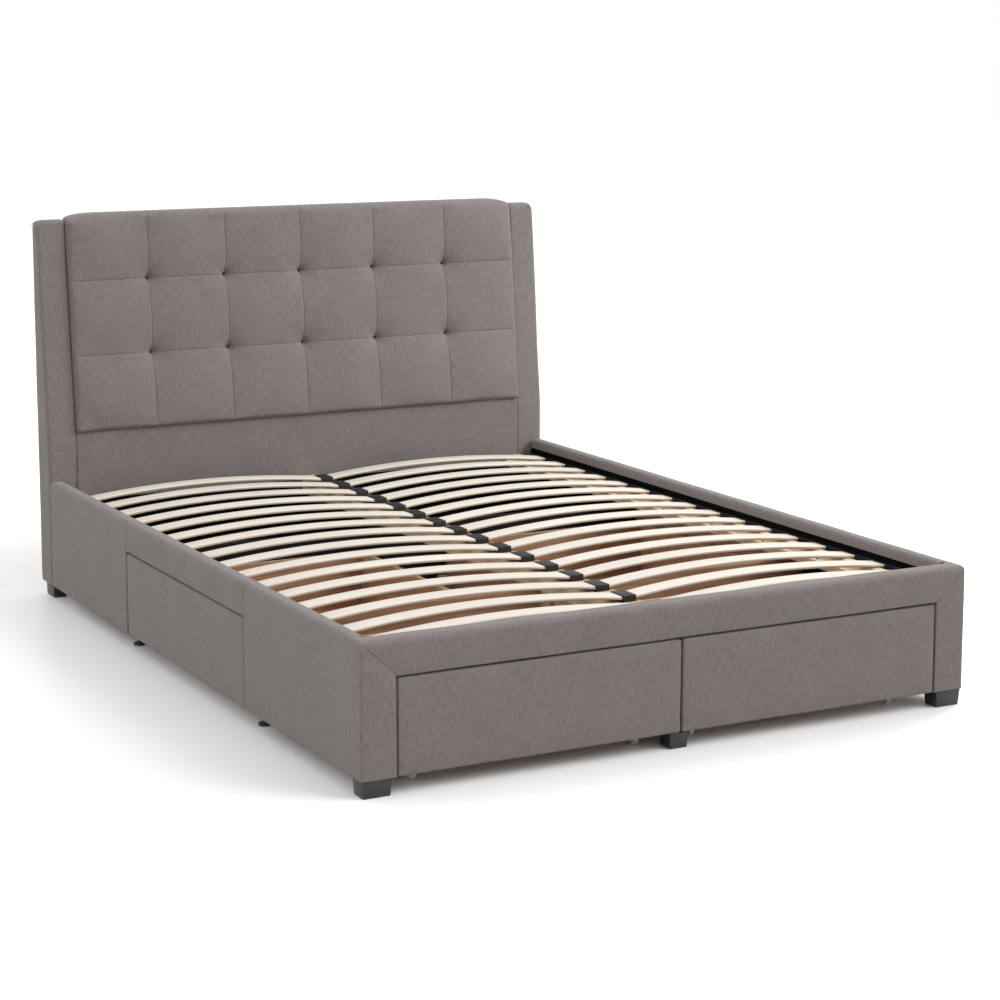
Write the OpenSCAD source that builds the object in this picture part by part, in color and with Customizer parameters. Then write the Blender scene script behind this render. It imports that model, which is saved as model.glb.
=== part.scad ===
// Upholstered platform bed with four castor drawers and a sprung slat base.
// Millimetres. +Y runs from the foot to the head, +Z is up, and the origin
// is on the floor under the middle of the bed.

/* [Overall] */
// Width over the side rails
bed_w = 1600; // [1400:10:1800]
// Length from the foot face to the back of the headboard
bed_l = 2200; // [2100:10:2300]
// Height of the rail tops above the floor
rail_top = 345; // [335:5:400]
// Clear height under the rails, which is the height of the legs
floor_gap = 40; // [36:1:50]

/* [Upholstery] */
// Foam and fabric on every outer face
pad_t = 10; // [6:1:14]
// Fabric turned down over the inner edge of the rails
skirt_t = 6; // [4:1:8]
// How far that fabric reaches down from the rail top
skirt_h = 26; // [20:1:40]
// Black cloth stapled to the inner faces
lining_t = 2; // [1:0.5:3]
// Radius of the padded top edges
roll_r = 15; // [10:1:18]
// Radius of the padded corners
corner_r = 8; // [4:1:9]

/* [Headboard] */
// Height to the crown of the tufted panel
head_h = 1100; // [1000:10:1200]
// How far the panel stands above the wings
crown_h = 17; // [10:1:30]
// Thickness at the rails
head_t = 98; // [88:1:110]
// Thickness of the wings at their top
head_top_t = 40; // [36:1:60]
// Height at which the front starts to lean back
rake_z = 455; // [420:5:475]
// Underside of the tufted panel
panel_z = 480; // [480:5:520]
// Width of each wing
wing_w = 84; // [60:1:120]
// How far the panel stands proud of the wings
panel_proud = 22; // [14:1:30]
// Width of the panel's falling shoulders
shoulder_w = 80; // [20:5:120]
// Tufted cells across the panel
tuft_cols = 6; // [4:1:8]
// Height of the lower row of buttons
tuft_low_z = 696; // [650:1:740]
// Height of the upper row of buttons
tuft_high_z = 909; // [860:1:950]
// Radius of a covered button
button_r = 8; // [6:1:14]
// Depth of the pull of a button into the panel
tuft_depth = 28; // [10:1:30]
// Width of a sewn channel
channel_w = 16; // [8:1:24]
// Depth of a sewn channel
channel_d = 6; // [3:1:9]

/* [Rails] */
// Thickness of a side rail with its padding
rail_t = 40; // [36:1:50]
// Thickness of the footboard with its padding
foot_t = 55; // [48:1:70]
// Width of the frame left beside the foot drawers
stile_w = 85; // [70:1:110]
// Height of the top of the drawer openings
open_top = 262; // [240:1:265]
// Distance from the foot face to a side opening
side_open_y = 650; // [640:5:700]
// Length of a side opening
side_open_l = 815; // [700:5:830]

/* [Legs] */
// Front leg width
leg_w = 71; // [50:1:80]
// Front leg depth
leg_d = 51; // [40:1:55]
// Taper of a leg on each face
leg_taper = 3; // [0:0.5:6]
// Distance of the legs inside the faces
leg_in = 4; // [2:1:10]
// Centre leg width and depth
mid_leg_w = 48; // [36:1:60]
// Headboard leg width
head_leg_w = 40; // [30:1:50]
// Headboard leg depth
head_leg_d = 67; // [50:1:72]
// Radius of a levelling foot
glide_r = 16.5; // [12:0.5:20]
// Thickness of a levelling foot
glide_t = 7; // [5:0.5:10]
// Distance of the levelling feet inside the rail faces
glide_in = 43; // [41:1:50]
// Radius of a levelling foot's stem
stem_r = 4; // [3:0.5:5]

/* [Slats] */
// Rows of slats
slat_rows = 16; // [12:1:17]
// Width of a slat
slat_w = 54; // [45:1:60]
// Thickness of a slat
slat_t = 8; // [6:0.5:10]
// Rise of a slat in its middle
slat_bow = 23; // [10:1:26]
// Height of the slat seats above the floor
slat_z = 299; // [290:1:310]
// Distance of the slat tips inside a rail's outer face
slat_end = 63.5; // [60:0.5:80]
// Half the gap between the two slats of a row
slat_mid = 5; // [4:0.5:8]
// Middle of the first row, from the footboard
first_row = 85; // [60:1:110]
// Middle of the last row, from the headboard
last_row = 114; // [90:1:160]
// Length of a double cap across the bed
cap_l = 37; // [32:1:60]
// Wall of a double cap
cap_wall = 2; // [1.6:0.2:3]
// Floor of a double cap
cap_floor = 4; // [3:0.5:5]
// Radius of a cap's lug
lug_r = 5; // [4:0.5:7]
// Length of a cap's lug
lug_l = 14; // [10:1:20]

/* [Slat base] */
// Width of the ledge under the slat tips
ledge_w = 52; // [40:1:60]
// Width of the ledge's raised lip, which the slats rest on
ledge_lip = 24; // [16:1:30]
// Height of the lip above the rest of the ledge
lip_h = 15; // [8:1:18]
// Reach of a slat tip beyond the lip
tip_over = 13; // [6:1:16]
// Thickness of the ledge
ledge_t = 18; // [12:1:22]
// Thickness of the steel angle and the brackets
steel_t = 2; // [1.5:0.5:3]
// Height of the angle's upright flange
angle_h = 36; // [30:1:38]
// How far the angle reaches under the ledge
angle_under = 34; // [20:1:40]
// Width of the centre beam
beam_w = 70; // [50:1:90]
// Height of the centre beam
beam_h = 45; // [35:1:50]
// Side of a centre post
post_w = 45; // [36:1:48]
// Thickness of the dividers
divider_t = 18; // [15:1:22]
// Distance from a side opening to the foot divider
near_gap = 10; // [8:1:20]
// Distance from a side opening to the head divider
far_gap = 19; // [8:1:30]
// Height of the foot under a post
post_foot_h = 10; // [6:1:16]

/* [Drawers] */
// Gap at the ends of a drawer front
end_gap = 3; // [2:0.5:5]
// Gap between the two foot drawers
mid_gap = 4; // [3:0.5:6]
// Gap above a drawer front
top_gap = 5; // [4:0.5:8]
// How far a drawer front sits behind the frame face
front_in = 1; // [0.5:0.5:4]
// Thickness of a drawer front's board
front_board_t = 22; // [16:1:25]
// Foam and fabric on the face of a drawer front
front_pad_t = 9; // [6:1:12]
// Fabric turned over the edges of a drawer front
edge_wrap = 3; // [2:0.5:4]
// Distance of the tray inside the ends of its front
tray_in = 25; // [23:1:40]
// Depth of a foot tray
foot_tray_d = 545; // [450:5:550]
// Depth of a side tray
side_tray_d = 640; // [500:5:660]
// Height of the tray walls
tray_h = 150; // [110:5:170]
// Thickness of the tray walls
wall_t = 15; // [12:1:18]
// Thickness of the tray base
base_t = 6; // [4:1:9]
// Height of the tray's underside above the floor
tray_z = 46; // [44:1:52]
// Height of a guide batten
guide_h = 30; // [20:1:40]

/* [Castors] */
// Radius of a castor wheel
wheel_r = 18; // [14:0.5:19]
// Width of a castor wheel
wheel_w = 14; // [10:1:18]
// Radius of the axle
axle_r = 2.5; // [2:0.5:4]
// Distance of the castors inside the ends of a front
castor_in = 73; // [60:1:100]
// Distance of the front castors behind the drawer face
castor_front = 91; // [80:1:120]
// Distance of the rear castors before the tray's end
castor_rear = 50; // [40:1:80]

/* [Hardware] */
// Radius of the bed bolts
bolt_r = 4; // [3:0.5:5]
// Radius of a bolt head
bolt_head_r = 8; // [6:0.5:10]
// Thickness of a bolt head
bolt_head_t = 5; // [3:0.5:6]
// Length of a corner bracket's flange
bracket_l = 50; // [40:1:60]
// Height of a corner bracket
bracket_h = 120; // [80:5:140]
// Height of the foot of a corner bracket
bracket_z = 110; // [90:5:130]
// Radius of a screw's shank
screw_r = 1.75; // [1.5:0.25:2.5]

/* [Clearances] */
// Clearance of a bolt or stem in its hole
hole_clear = 0.2; // [0.1:0.1:0.5]
// Clearance of a wheel on its axle
axle_clear = 0.05; // [0.02:0.01:0.09]
// Clearance of a slat in its cap
slat_clear = 0.3; // [0.2:0.1:0.6]
// Slats over the ledge's lip
seat_gap = 0.02; // [0.02:0.02:0.1]
// Joint between boards that are glued or screwed
joint_gap = 0.2; // [0.1:0.1:0.5]
// Height of the castors' treads off the floor
wheel_lift = 0.3; // [0.2:0.1:0.5]
// Clearance of the tufted panel in its frame
panel_clear = 0.3; // [0.2:0.1:0.6]
// Clearance of the drawer fronts over the centre leg
leg_clear = 1.5; // [1:0.5:3]
// Running clearance of a tray along its guide battens
guide_clear = 0.3; // [0.2:0.1:0.8]

/* [Hidden] */
$fn = 48;

fabric = [0.48, 0.45, 0.43];
pine = [0.86, 0.74, 0.58];
board = [0.66, 0.50, 0.36];
birch = [0.90, 0.86, 0.79];
black = [0.08, 0.08, 0.08];
charcoal = [0.20, 0.20, 0.20];
steel = [0.16, 0.16, 0.17];
grey = [0.70, 0.70, 0.70];

eps = 0.5;                                   // overshoot of a cut
half_w = bed_w / 2;
foot_y = -bed_l / 2;
head_y = bed_l / 2;
foot_back = foot_y + foot_t;
head_front = head_y - head_t;
wing_h = head_h - crown_h;
foot_core_back = foot_back - skirt_t;        // inner face of the footboard's board
foot_inner = foot_core_back + lining_t;      // the same face with its lining
rail_core_u = rail_t - skirt_t;              // inner face of a rail's board
rail_inner = rail_core_u + lining_t;         // the same face with its lining
inner_half = half_w - rail_inner;            // half the width between the linings
open_half = half_w - stile_w;                // half the width of the foot opening
side_y0 = foot_y + side_open_y;
side_y1 = side_y0 + side_open_l;
near_y = side_y0 - near_gap - divider_t;     // foot face of the near cross divider
far_y = side_y1 + far_gap;                   // foot face of the far cross divider
near_post_y = near_y - joint_gap - post_w / 2;
far_post_y = far_y + divider_t + joint_gap + post_w / 2;
beam_top = slat_z - cap_floor;
beam_under = beam_top - beam_h;
ledge_u = slat_end + tip_over;               // outer edge of the ledge
panel_half = half_w - wing_w - panel_clear;
rake = atan((head_t - head_top_t) / (wing_h - rake_z));
cloth_in = 20;                               // border left round the back cloth
drawer_top = open_top - top_gap;
front_t = front_pad_t + front_board_t;
axle_z = wheel_r + wheel_lift;
slat_out = half_w - slat_end;
slat_chord = slat_out - slat_mid;
slat_r = slat_chord * slat_chord / (8 * slat_bow) + slat_bow / 2;
slat_half = asin(slat_chord / 2 / slat_r);
lip_z = slat_z + slat_bow - slat_r           // where a slat meets the lip's outer edge
    + sqrt(pow(slat_r, 2) - pow(slat_chord / 2 - tip_over, 2)) - seat_gap;
ledge_z = lip_z - lip_h;                     // top of the ledge inside its lip
angle_z = ledge_z - ledge_t;                 // top of the angle's level flange
row_first = foot_back + first_row;
row_pitch = (head_front - last_row - row_first) / (slat_rows - 1);
bolt_rows = [bracket_h * 0.25, bracket_h * 0.75];

// ---- drawing helpers ----

// Points of an arc round c from angle a0 to angle a1
function arc(c, r, a0, a1, n = 6) =
    [for (i = [0:n]) c + r * [cos(a0 + (a1 - a0) * i / n), sin(a0 + (a1 - a0) * i / n)]];

// A profile drawn in Y and Z, run from x0 to x1
module along_x(x0, x1) translate([x0, 0, 0]) rotate([90, 0, 90]) linear_extrude(x1 - x0) children();

// A profile drawn in X and Z, run from y0 to y1
module along_y(y0, y1) translate([0, y1, 0]) rotate([90, 0, 0]) linear_extrude(y1 - y0) children();

// A block between two corners
module block(a, b) translate(a) cube(b - a);

// The left side as drawn, or its mirror on the right
module on_side(right) {
    if (right) mirror([1, 0, 0]) children();
    else children();
}

// An upright block that narrows towards the floor
module tapered_leg(size, h, taper) {
    intersection() {
        along_y(-size[1] / 2, size[1] / 2)
            polygon([[-size[0] / 2 + taper, 0], [size[0] / 2 - taper, 0],
                     [size[0] / 2, h], [-size[0] / 2, h]]);
        along_x(-size[0] / 2, size[0] / 2)
            polygon([[-size[1] / 2 + taper, 0], [size[1] / 2 - taper, 0],
                     [size[1] / 2, h], [-size[1] / 2, h]]);
    }
}

// ---- headboard ----

// Side outline of the headboard, drawn in Y and Z and pulled in at each face
function head_outline(front, back, top, r, z0) =
    let (yt = head_y - head_top_t + front, zt = wing_h - top, yb = head_y - back,
         c = [yt - (r + top) * tan(rake) + r / cos(rake) , zt - r],
         lean = (z0 > rake_z) ? [] : [[head_front + front, rake_z]],
         y0 = head_front + front + max(0, z0 - rake_z) * tan(rake))
    concat([[yb, z0]], arc([yb - r, zt - r], r, 0, 90),
           arc(c, r, 90, 180 - rake), lean, [[y0, z0]]);

// Front outline of a rounded-top board, drawn in X and Z
function board_outline(half, z0, z1, r) =
    concat([[-half, z0], [half, z0]], arc([half - r, z1 - r], r, 0, 90),
           arc([-half + r, z1 - r], r, 90, 180));

core_top_in = pad_t + 2;                     // foam over the headboard's board
core_r = 4;                                  // eased edge of the headboard's board

module headboard_board_shape() {
    along_x(-half_w + pad_t, half_w - pad_t)
        polygon(head_outline(core_top_in, lining_t, core_top_in, core_r, floor_gap));
}

module headboard_core() color(pine) difference() {
    headboard_board_shape();
    corner_bolt_holes(true);
}

module headboard_cover() color(fabric) difference() {
    intersection() {
        along_x(-half_w, half_w) polygon(head_outline(0, 0, 0, roll_r, floor_gap));
        along_y(head_front - eps, head_y + eps)
            polygon(board_outline(half_w, floor_gap - eps, wing_h, corner_r));
    }
    headboard_board_shape();
    // the opening that the tufted panel fills
    block([-panel_half - panel_clear, head_front - eps, panel_z],
          [panel_half + panel_clear, head_y + eps, head_h]);
    // the field of the back cloth
    block([-half_w + cloth_in, head_y - lining_t - eps, floor_gap + cloth_in],
          [half_w - cloth_in, head_y + eps, wing_h - cloth_in]);
    corner_bolt_holes(true);
}

// Front face of the tufted panel at height z
function panel_y(z) = head_front + (z - rake_z) * tan(rake) - panel_proud;

// A button's place on the panel, turned to look out along +Z of its own
module at_tufts() {
    for (i = [1:tuft_cols - 1], z = [tuft_low_z, tuft_high_z])
        translate([-panel_half + i * 2 * panel_half / tuft_cols, panel_y(z), z])
            rotate([90 - rake, 0, 0]) children();
}

// Sewn channels across and up the panel
module panel_channels() {
    for (i = [1:tuft_cols - 1])
        translate([-panel_half + i * 2 * panel_half / tuft_cols, panel_y(panel_z), panel_z])
            rotate([-rake, 0, 0]) rotate([0, 0, 45])
                cube([channel_w / sqrt(2), channel_w / sqrt(2), 3 * head_h], center = true);
    for (z = [tuft_low_z, tuft_high_z])
        translate([0, panel_y(z), z]) rotate([45 - rake, 0, 0])
            cube([bed_w, channel_w / sqrt(2), channel_w / sqrt(2)], center = true);
}

// Front outline of the panel, whose top falls to the wings at each end
function panel_outline() =
    let (w = panel_half, drop = crown_h, fall = shoulder_w)
    concat([[-w, panel_z], [w, panel_z]],
           [for (a = [0:9:90]) [w - fall + fall * cos(a), wing_h + drop * sin(a)]],
           [for (a = [90:9:180]) [-w + fall + fall * cos(a), wing_h + drop * sin(a)]]);

module headboard_panel() color(fabric) difference() {
    intersection() {
        along_x(-panel_half, panel_half)
            polygon(head_outline(-panel_proud, lining_t, -crown_h, roll_r, panel_z));
        along_y(head_front - 2 * panel_proud, head_y)
            polygon(panel_outline());
    }
    headboard_board_shape();
    block([-bed_w, head_y - core_top_in, 0], [bed_w, head_y + eps, wing_h - core_top_in]);
    translate([0, -channel_w / 2 + channel_d, 0]) panel_channels();
    at_tufts() translate([0, 0, -tuft_depth])
        cylinder(r1 = button_r + 1, r2 = 3 * button_r, h = tuft_depth + eps);
}

// Domed buttons pulled to the bottom of their tufts
module headboard_buttons() color(fabric)
    at_tufts() translate([0, 0, -tuft_depth]) rotate_extrude()
        polygon(concat([[0, 0], [button_r, 0], [button_r, 2]],
                       [for (a = [15:15:90]) [button_r * cos(a), 2 + 4 * sin(a)]]));

module headboard_back_cloth() color(charcoal)
    block([-half_w + cloth_in, head_y - lining_t, floor_gap + cloth_in],
          [half_w - cloth_in, head_y, wing_h - cloth_in]);

module headboard_legs() color(black)
    for (s = [-1, 1])
        translate([s * (half_w - pad_t - head_leg_w / 2), head_y - pad_t - head_leg_d / 2, 0])
            tapered_leg([head_leg_w, head_leg_d], floor_gap, leg_taper / 2);

// ---- footboard ----

module foot_opening() block([-open_half, foot_y - eps, 0], [open_half, foot_back + eps, open_top]);

module footboard_board_shape()
    block([-half_w + pad_t, foot_y + pad_t, floor_gap],
          [half_w - pad_t, foot_core_back, rail_top - pad_t]);

module footboard_core() color(board) difference() {
    footboard_board_shape();
    foot_opening();
    corner_bolt_holes(false);
}

module footboard_cover() color(fabric) difference() {
    intersection() {
        along_x(-half_w, half_w)
            polygon(concat([[foot_y, floor_gap], [foot_back, floor_gap]],
                           arc([foot_back - roll_r, rail_top - roll_r], roll_r, 0, 90),
                           arc([foot_y + roll_r, rail_top - roll_r], roll_r, 90, 180)));
        along_y(foot_y - eps, foot_back + eps)
            polygon(board_outline(half_w, floor_gap - eps, rail_top, corner_r));
        linear_extrude(head_h)
            polygon(concat([[half_w, foot_back], [-half_w, foot_back]],
                           arc([-half_w + corner_r, foot_y + corner_r], corner_r, 180, 270),
                           arc([half_w - corner_r, foot_y + corner_r], corner_r, 270, 360)));
    }
    footboard_board_shape();
    foot_opening();
    // the inner face below the turned-down fabric
    block([-half_w + rail_core_u, foot_core_back, 0],
          [half_w - rail_core_u, foot_back + eps, rail_top - skirt_h]);
    corner_bolt_holes(false);
}

module footboard_legs() color(black)
    for (s = [-1, 1])
        translate([s * (half_w - leg_in - leg_w / 2), foot_y + leg_in + leg_d / 2, 0])
            tapered_leg([leg_w, leg_d], floor_gap, leg_taper);

mid_leg_in = 12;                             // distance of the centre leg behind the foot face
mid_leg_y = foot_y + mid_leg_in + mid_leg_w / 2;
module footboard_centre_leg() color(black) translate([0, mid_leg_y, 0])
    tapered_leg([mid_leg_w, mid_leg_w], floor_gap - leg_clear, leg_taper / 2);

// ---- side rails ----

// Cross-section of a rail's cover, drawn from its outer face inwards
function rail_outline() =
    concat([[0, floor_gap]], [[rail_t, floor_gap]],
           arc([rail_t - roll_r, rail_top - roll_r], roll_r, 0, 90),
           arc([roll_r, rail_top - roll_r], roll_r, 90, 180));

module side_opening() block([-eps, side_y0, 0], [rail_t + eps, side_y1, open_top]);

module rail_board_shape()
    block([pad_t, foot_back, floor_gap], [rail_core_u, head_front, rail_top - pad_t]);

module rail_core(right) color(board)
    on_side(right) difference() {
        translate([-half_w, 0, 0]) difference() {
            rail_board_shape();
            side_opening();
        }
        corner_bolt_holes(false);
        corner_bolt_holes(true);
    }

module rail_cover(right) color(fabric)
    on_side(right) translate([-half_w, 0, 0]) difference() {
        along_y(foot_back, head_front) polygon(rail_outline());
        rail_board_shape();
        side_opening();
        block([rail_core_u, foot_back - eps, 0],
              [rail_t + eps, head_front + eps, rail_top - skirt_h]);
    }

// Black cloth on the inner faces of both rails and the footboard, and under the
// empty space at the head
dust_y = far_post_y + post_w / 2 + 2;
module inner_linings() color(black) difference() {
    union() {
        block([-inner_half - lining_t / 2, dust_y, floor_gap],
              [inner_half + lining_t / 2, head_front - joint_gap, floor_gap + lining_t]);
        for (right = [false, true])
            on_side(right) translate([-half_w, 0, 0]) difference() {
                block([rail_core_u, foot_back + joint_gap, floor_gap],
                      [rail_inner, head_front - joint_gap, rail_top - skirt_h]);
                side_opening();
            }
        difference() {
            block([-half_w + rail_core_u + joint_gap, foot_core_back, floor_gap],
                  [half_w - rail_core_u - joint_gap, foot_inner, rail_top - skirt_h]);
            foot_opening();
        }
    }
    corner_bolt_holes(false);
    corner_bolt_holes(true);
}

// ---- corner joints ----

// Axes of the bolts of the left corner at the head or at the foot: each of
// these children looks out along +Z of its own, from the bracket's face
module at_corner_bolts(head) {
    y_face = head ? head_front : foot_inner;
    s = head ? -1 : 1;
    for (z = bolt_rows) {
        // through the bracket into the rail
        translate([-inner_half + steel_t, y_face + s * bracket_l * 0.6, bracket_z + z])
            rotate([0, 90, 0]) children();
        // through the bracket into the headboard or footboard
        translate([-inner_half + bracket_l * 0.6, y_face + s * steel_t, bracket_z + z])
            rotate([head ? 90 : -90, 0, 0]) children();
    }
}

bolt_l = 22;                                 // length of a bolt under its head

module corner_bolt_holes(head)
    for (right = [false, true]) on_side(right)
        at_corner_bolts(head) translate([0, 0, -bolt_l - hole_clear])
            cylinder(r = bolt_r + hole_clear, h = bolt_l + steel_t);

module corner_brackets() color(steel)
    for (right = [false, true], head = [false, true]) on_side(right) difference() {
        y_face = head ? head_front : foot_inner;
        s = head ? -1 : 1;
        union() {
            block([-inner_half, min(y_face, y_face + s * bracket_l), bracket_z],
                  [-inner_half + steel_t, max(y_face, y_face + s * bracket_l), bracket_z + bracket_h]);
            block([-inner_half, min(y_face, y_face + s * steel_t), bracket_z],
                  [-inner_half + bracket_l, max(y_face, y_face + s * steel_t), bracket_z + bracket_h]);
        }
        at_corner_bolts(head) translate([0, 0, -2 * steel_t])
            cylinder(r = bolt_r + hole_clear, h = 3 * steel_t);
    }

module corner_bolts() color(steel)
    for (right = [false, true], head = [false, true]) on_side(right) at_corner_bolts(head) {
        cylinder(r = bolt_head_r, h = bolt_head_t, $fn = 6);
        translate([0, 0, -bolt_l]) cylinder(r = bolt_r, h = bolt_l + 1);
    }

// ---- slat base ----

// Places of the screws that hold each ledge, between every second pair of rows
module at_ledge_screws()
    for (i = [0:2:slat_rows - 2])
        translate([ledge_u + (ledge_lip + ledge_w) / 2, row_first + (i + 0.5) * row_pitch, ledge_z]) children();

// Steel angles screwed along the inner faces of the rails
module slat_angles() color(black)
    for (right = [false, true]) on_side(right) translate([-half_w, 0, 0]) difference() {
        along_y(foot_back + joint_gap, head_front - joint_gap)
            polygon([[rail_inner, angle_z - steel_t], [ledge_u + angle_under, angle_z - steel_t],
                     [ledge_u + angle_under, angle_z], [rail_inner + steel_t, angle_z],
                     [rail_inner + steel_t, angle_z - steel_t + angle_h],
                     [rail_inner, angle_z - steel_t + angle_h]]);
        at_ledge_screws() translate([0, 0, -2 * ledge_t]) cylinder(r = screw_r + hole_clear, h = 2 * ledge_t);
    }

// Pine ledges under the outer tips of the slats, each with a raised outer lip
module slat_ledges() color(pine)
    for (right = [false, true]) on_side(right) translate([-half_w, 0, 0]) difference() {
        along_y(foot_back + joint_gap, head_front - joint_gap)
            polygon([[ledge_u, angle_z], [ledge_u + ledge_w, angle_z], [ledge_u + ledge_w, ledge_z],
                     [ledge_u + ledge_lip, ledge_z], [ledge_u + ledge_lip, lip_z], [ledge_u, lip_z]]);
        at_ledge_screws() translate([0, 0, -2 * ledge_t]) cylinder(r = screw_r + hole_clear, h = 3 * ledge_t);
    }

module ledge_screws() color(black)
    for (right = [false, true]) on_side(right) translate([-half_w, 0, 0])
        at_ledge_screws() rotate_extrude(convexity = 4)
            polygon([[0, 1.6], [2 * screw_r, 1.6], [2.4 * screw_r, 0], [screw_r, 0],
                     [screw_r, -ledge_t], [0, -ledge_t - 2 * screw_r]]);

// One bowed slat of the left side, grown by a clearance on every face
module slat(y, grow) {
    turn = slat_half + asin(grow / slat_r);
    translate([-(slat_mid + slat_out) / 2, y, slat_z + slat_bow - slat_r])
        rotate([90, 0, 0]) rotate([0, 0, 90 - turn])
            rotate_extrude(angle = 2 * turn, $fn = 720)
                translate([slat_r - grow, -slat_w / 2 - grow]) square([slat_t + 2 * grow, slat_w + 2 * grow]);
}

module slats(right) color(birch)
    on_side(right) for (i = [0:slat_rows - 1]) slat(row_first + i * row_pitch, 0);

module slats_left() slats(false);
module slats_right() slats(true);

// Double caps: a sleeve for the inner end of each slat and a lug into the beam
cap_rise = (cap_l / 2 - slat_mid) * tan(slat_half);
cap_top = slat_z + slat_t + cap_rise + slat_clear + cap_wall;
cap_half_w = slat_w / 2 + slat_clear + cap_wall;
module centre_caps() color(charcoal)
    for (i = [0:slat_rows - 1]) difference() {
        y = row_first + i * row_pitch;
        union() {
            along_y(y - cap_half_w, y + cap_half_w)
                polygon(concat([[-cap_l / 2, beam_top], [cap_l / 2, beam_top]],
                               arc([cap_l / 2 - 3, cap_top - 3], 3, 0, 90),
                               arc([-cap_l / 2 + 3, cap_top - 3], 3, 90, 180)));
            translate([0, y, beam_top - lug_l]) cylinder(r = lug_r, h = lug_l + cap_floor / 2);
        }
        for (right = [false, true]) on_side(right) slat(y, slat_clear);
    }

module centre_beam() color(pine) difference() {
    block([-beam_w / 2, foot_inner + steel_t, beam_under],
          [beam_w / 2, head_front - steel_t, beam_top]);
    for (i = [0:slat_rows - 1])
        translate([0, row_first + i * row_pitch, beam_top - lug_l - 1])
            cylinder(r = lug_r + hole_clear, h = lug_l + 2);
}

// Folded steel stirrups that carry the two ends of the beam
hanger_d = 40;                               // depth of a stirrup's seat
hanger_ear = 30;                             // width of its ears beside the beam
module beam_hangers() color(steel)
    for (head = [false, true]) {
        y0 = head ? head_front - hanger_d : foot_inner;
        plate_y = head ? head_front - steel_t : foot_inner;
        block([-beam_w / 2 - hanger_ear, plate_y, beam_under - steel_t],
              [beam_w / 2 + hanger_ear, plate_y + steel_t, beam_top - cap_floor]);
        block([-beam_w / 2 - steel_t, y0, beam_under - steel_t],
              [beam_w / 2 + steel_t, y0 + hanger_d, beam_under]);
        for (s = [-1, 1])
            block([s * (beam_w / 2 + steel_t / 2) - steel_t / 2, y0, beam_under - steel_t],
                  [s * (beam_w / 2 + steel_t / 2) + steel_t / 2, y0 + hanger_d, beam_top - cap_floor]);
    }

// Posts stand under the beam against the two cross dividers
module centre_posts() color(pine)
    for (y = [near_post_y, far_post_y])
        block([-post_w / 2, y - post_w / 2, post_foot_h], [post_w / 2, y + post_w / 2, beam_under]);

module post_feet() color(black)
    for (y = [near_post_y, far_post_y])
        translate([0, y, 0]) tapered_leg([post_w, post_w], post_foot_h, 1);

// Board between the two foot drawers, from the centre leg to the near post
hanger_clear = 3;                            // room for the stirrup above the divider
divider_y0 = foot_y + front_in + front_t + 3;
divider_y1 = near_post_y - post_w / 2 - joint_gap;
module foot_divider() color(pine)
    block([-divider_t / 2, divider_y0, floor_gap - leg_clear],
          [divider_t / 2, divider_y1, beam_under - hanger_clear]);

// Boards across the bed that carry the beam and the levelling feet
module cross_divider(y) color(pine) difference() {
    block([-inner_half, y, tray_z], [inner_half, y + divider_t, beam_under]);
    at_levelling_feet() cylinder(r = stem_r + hole_clear, h = tray_z + stem_in + 2);
}
module near_cross_divider() cross_divider(near_y);
module far_cross_divider() cross_divider(far_y);

stem_in = 25;                                // how far a foot's stem enters its divider
module at_levelling_feet()
    for (s = [-1, 1], y = [near_y, far_y])
        translate([s * (half_w - glide_in), y + divider_t / 2, 0]) children();

module levelling_feet() color(black)
    at_levelling_feet() rotate_extrude()
        polygon([[0, 0], [glide_r - 1.5, 0], [glide_r, 1.5], [glide_r, glide_t - 2],
                 [glide_r - 2, glide_t], [2 * stem_r, glide_t + 1], [1.5 * stem_r, 2 * glide_t],
                 [stem_r, 2 * glide_t], [stem_r, tray_z + stem_in], [0, tray_z + stem_in]]);

// ---- drawers ----

// A drawer is drawn with its face on Y = 0 and its tray towards +Y, then put
// behind the foot face or turned to a side
foot_front_w = open_half - end_gap - mid_gap / 2;
side_front_w = side_open_l - 2 * end_gap;
function is_foot(name) = name == "foot_left" || name == "foot_right";
function front_w(name) = is_foot(name) ? foot_front_w : side_front_w;
function tray_w(name) = front_w(name) - 2 * tray_in;
function tray_d(name) = is_foot(name) ? foot_tray_d : side_tray_d;
side_mid_y = (side_y0 + side_y1) / 2;
foot_mid_x = (foot_front_w + mid_gap) / 2;

module place_drawer(name) {
    if (name == "foot_left") translate([-foot_mid_x, foot_y + front_in, 0]) children();
    if (name == "foot_right") translate([foot_mid_x, foot_y + front_in, 0]) children();
    if (name == "side_left") translate([-half_w + front_in, side_mid_y, 0]) rotate([0, 0, -90]) children();
    if (name == "side_right") translate([half_w - front_in, side_mid_y, 0]) rotate([0, 0, 90]) children();
}

module front_board_shape(w)
    block([-w / 2 + edge_wrap, front_pad_t, floor_gap + edge_wrap],
          [w / 2 - edge_wrap, front_t, drawer_top - edge_wrap]);

module drawer_front(name) color(board) place_drawer(name) front_board_shape(front_w(name));

edge_r = 5;                                  // soft edge of a drawer front
module drawer_cover(name) color(fabric) place_drawer(name) difference() {
    w = front_w(name);
    intersection() {
        linear_extrude(head_h)
            polygon(concat([[w / 2, front_t], [-w / 2, front_t]],
                           arc([-w / 2 + edge_r, edge_r], edge_r, 180, 270),
                           arc([w / 2 - edge_r, edge_r], edge_r, 270, 360)));
        along_x(-w / 2, w / 2)
            polygon(concat([[front_t, floor_gap], [front_t, drawer_top]],
                           arc([edge_r, drawer_top - edge_r], edge_r, 90, 180),
                           arc([edge_r, floor_gap + edge_r], edge_r, 180, 270)));
    }
    front_board_shape(w);
}

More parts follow.
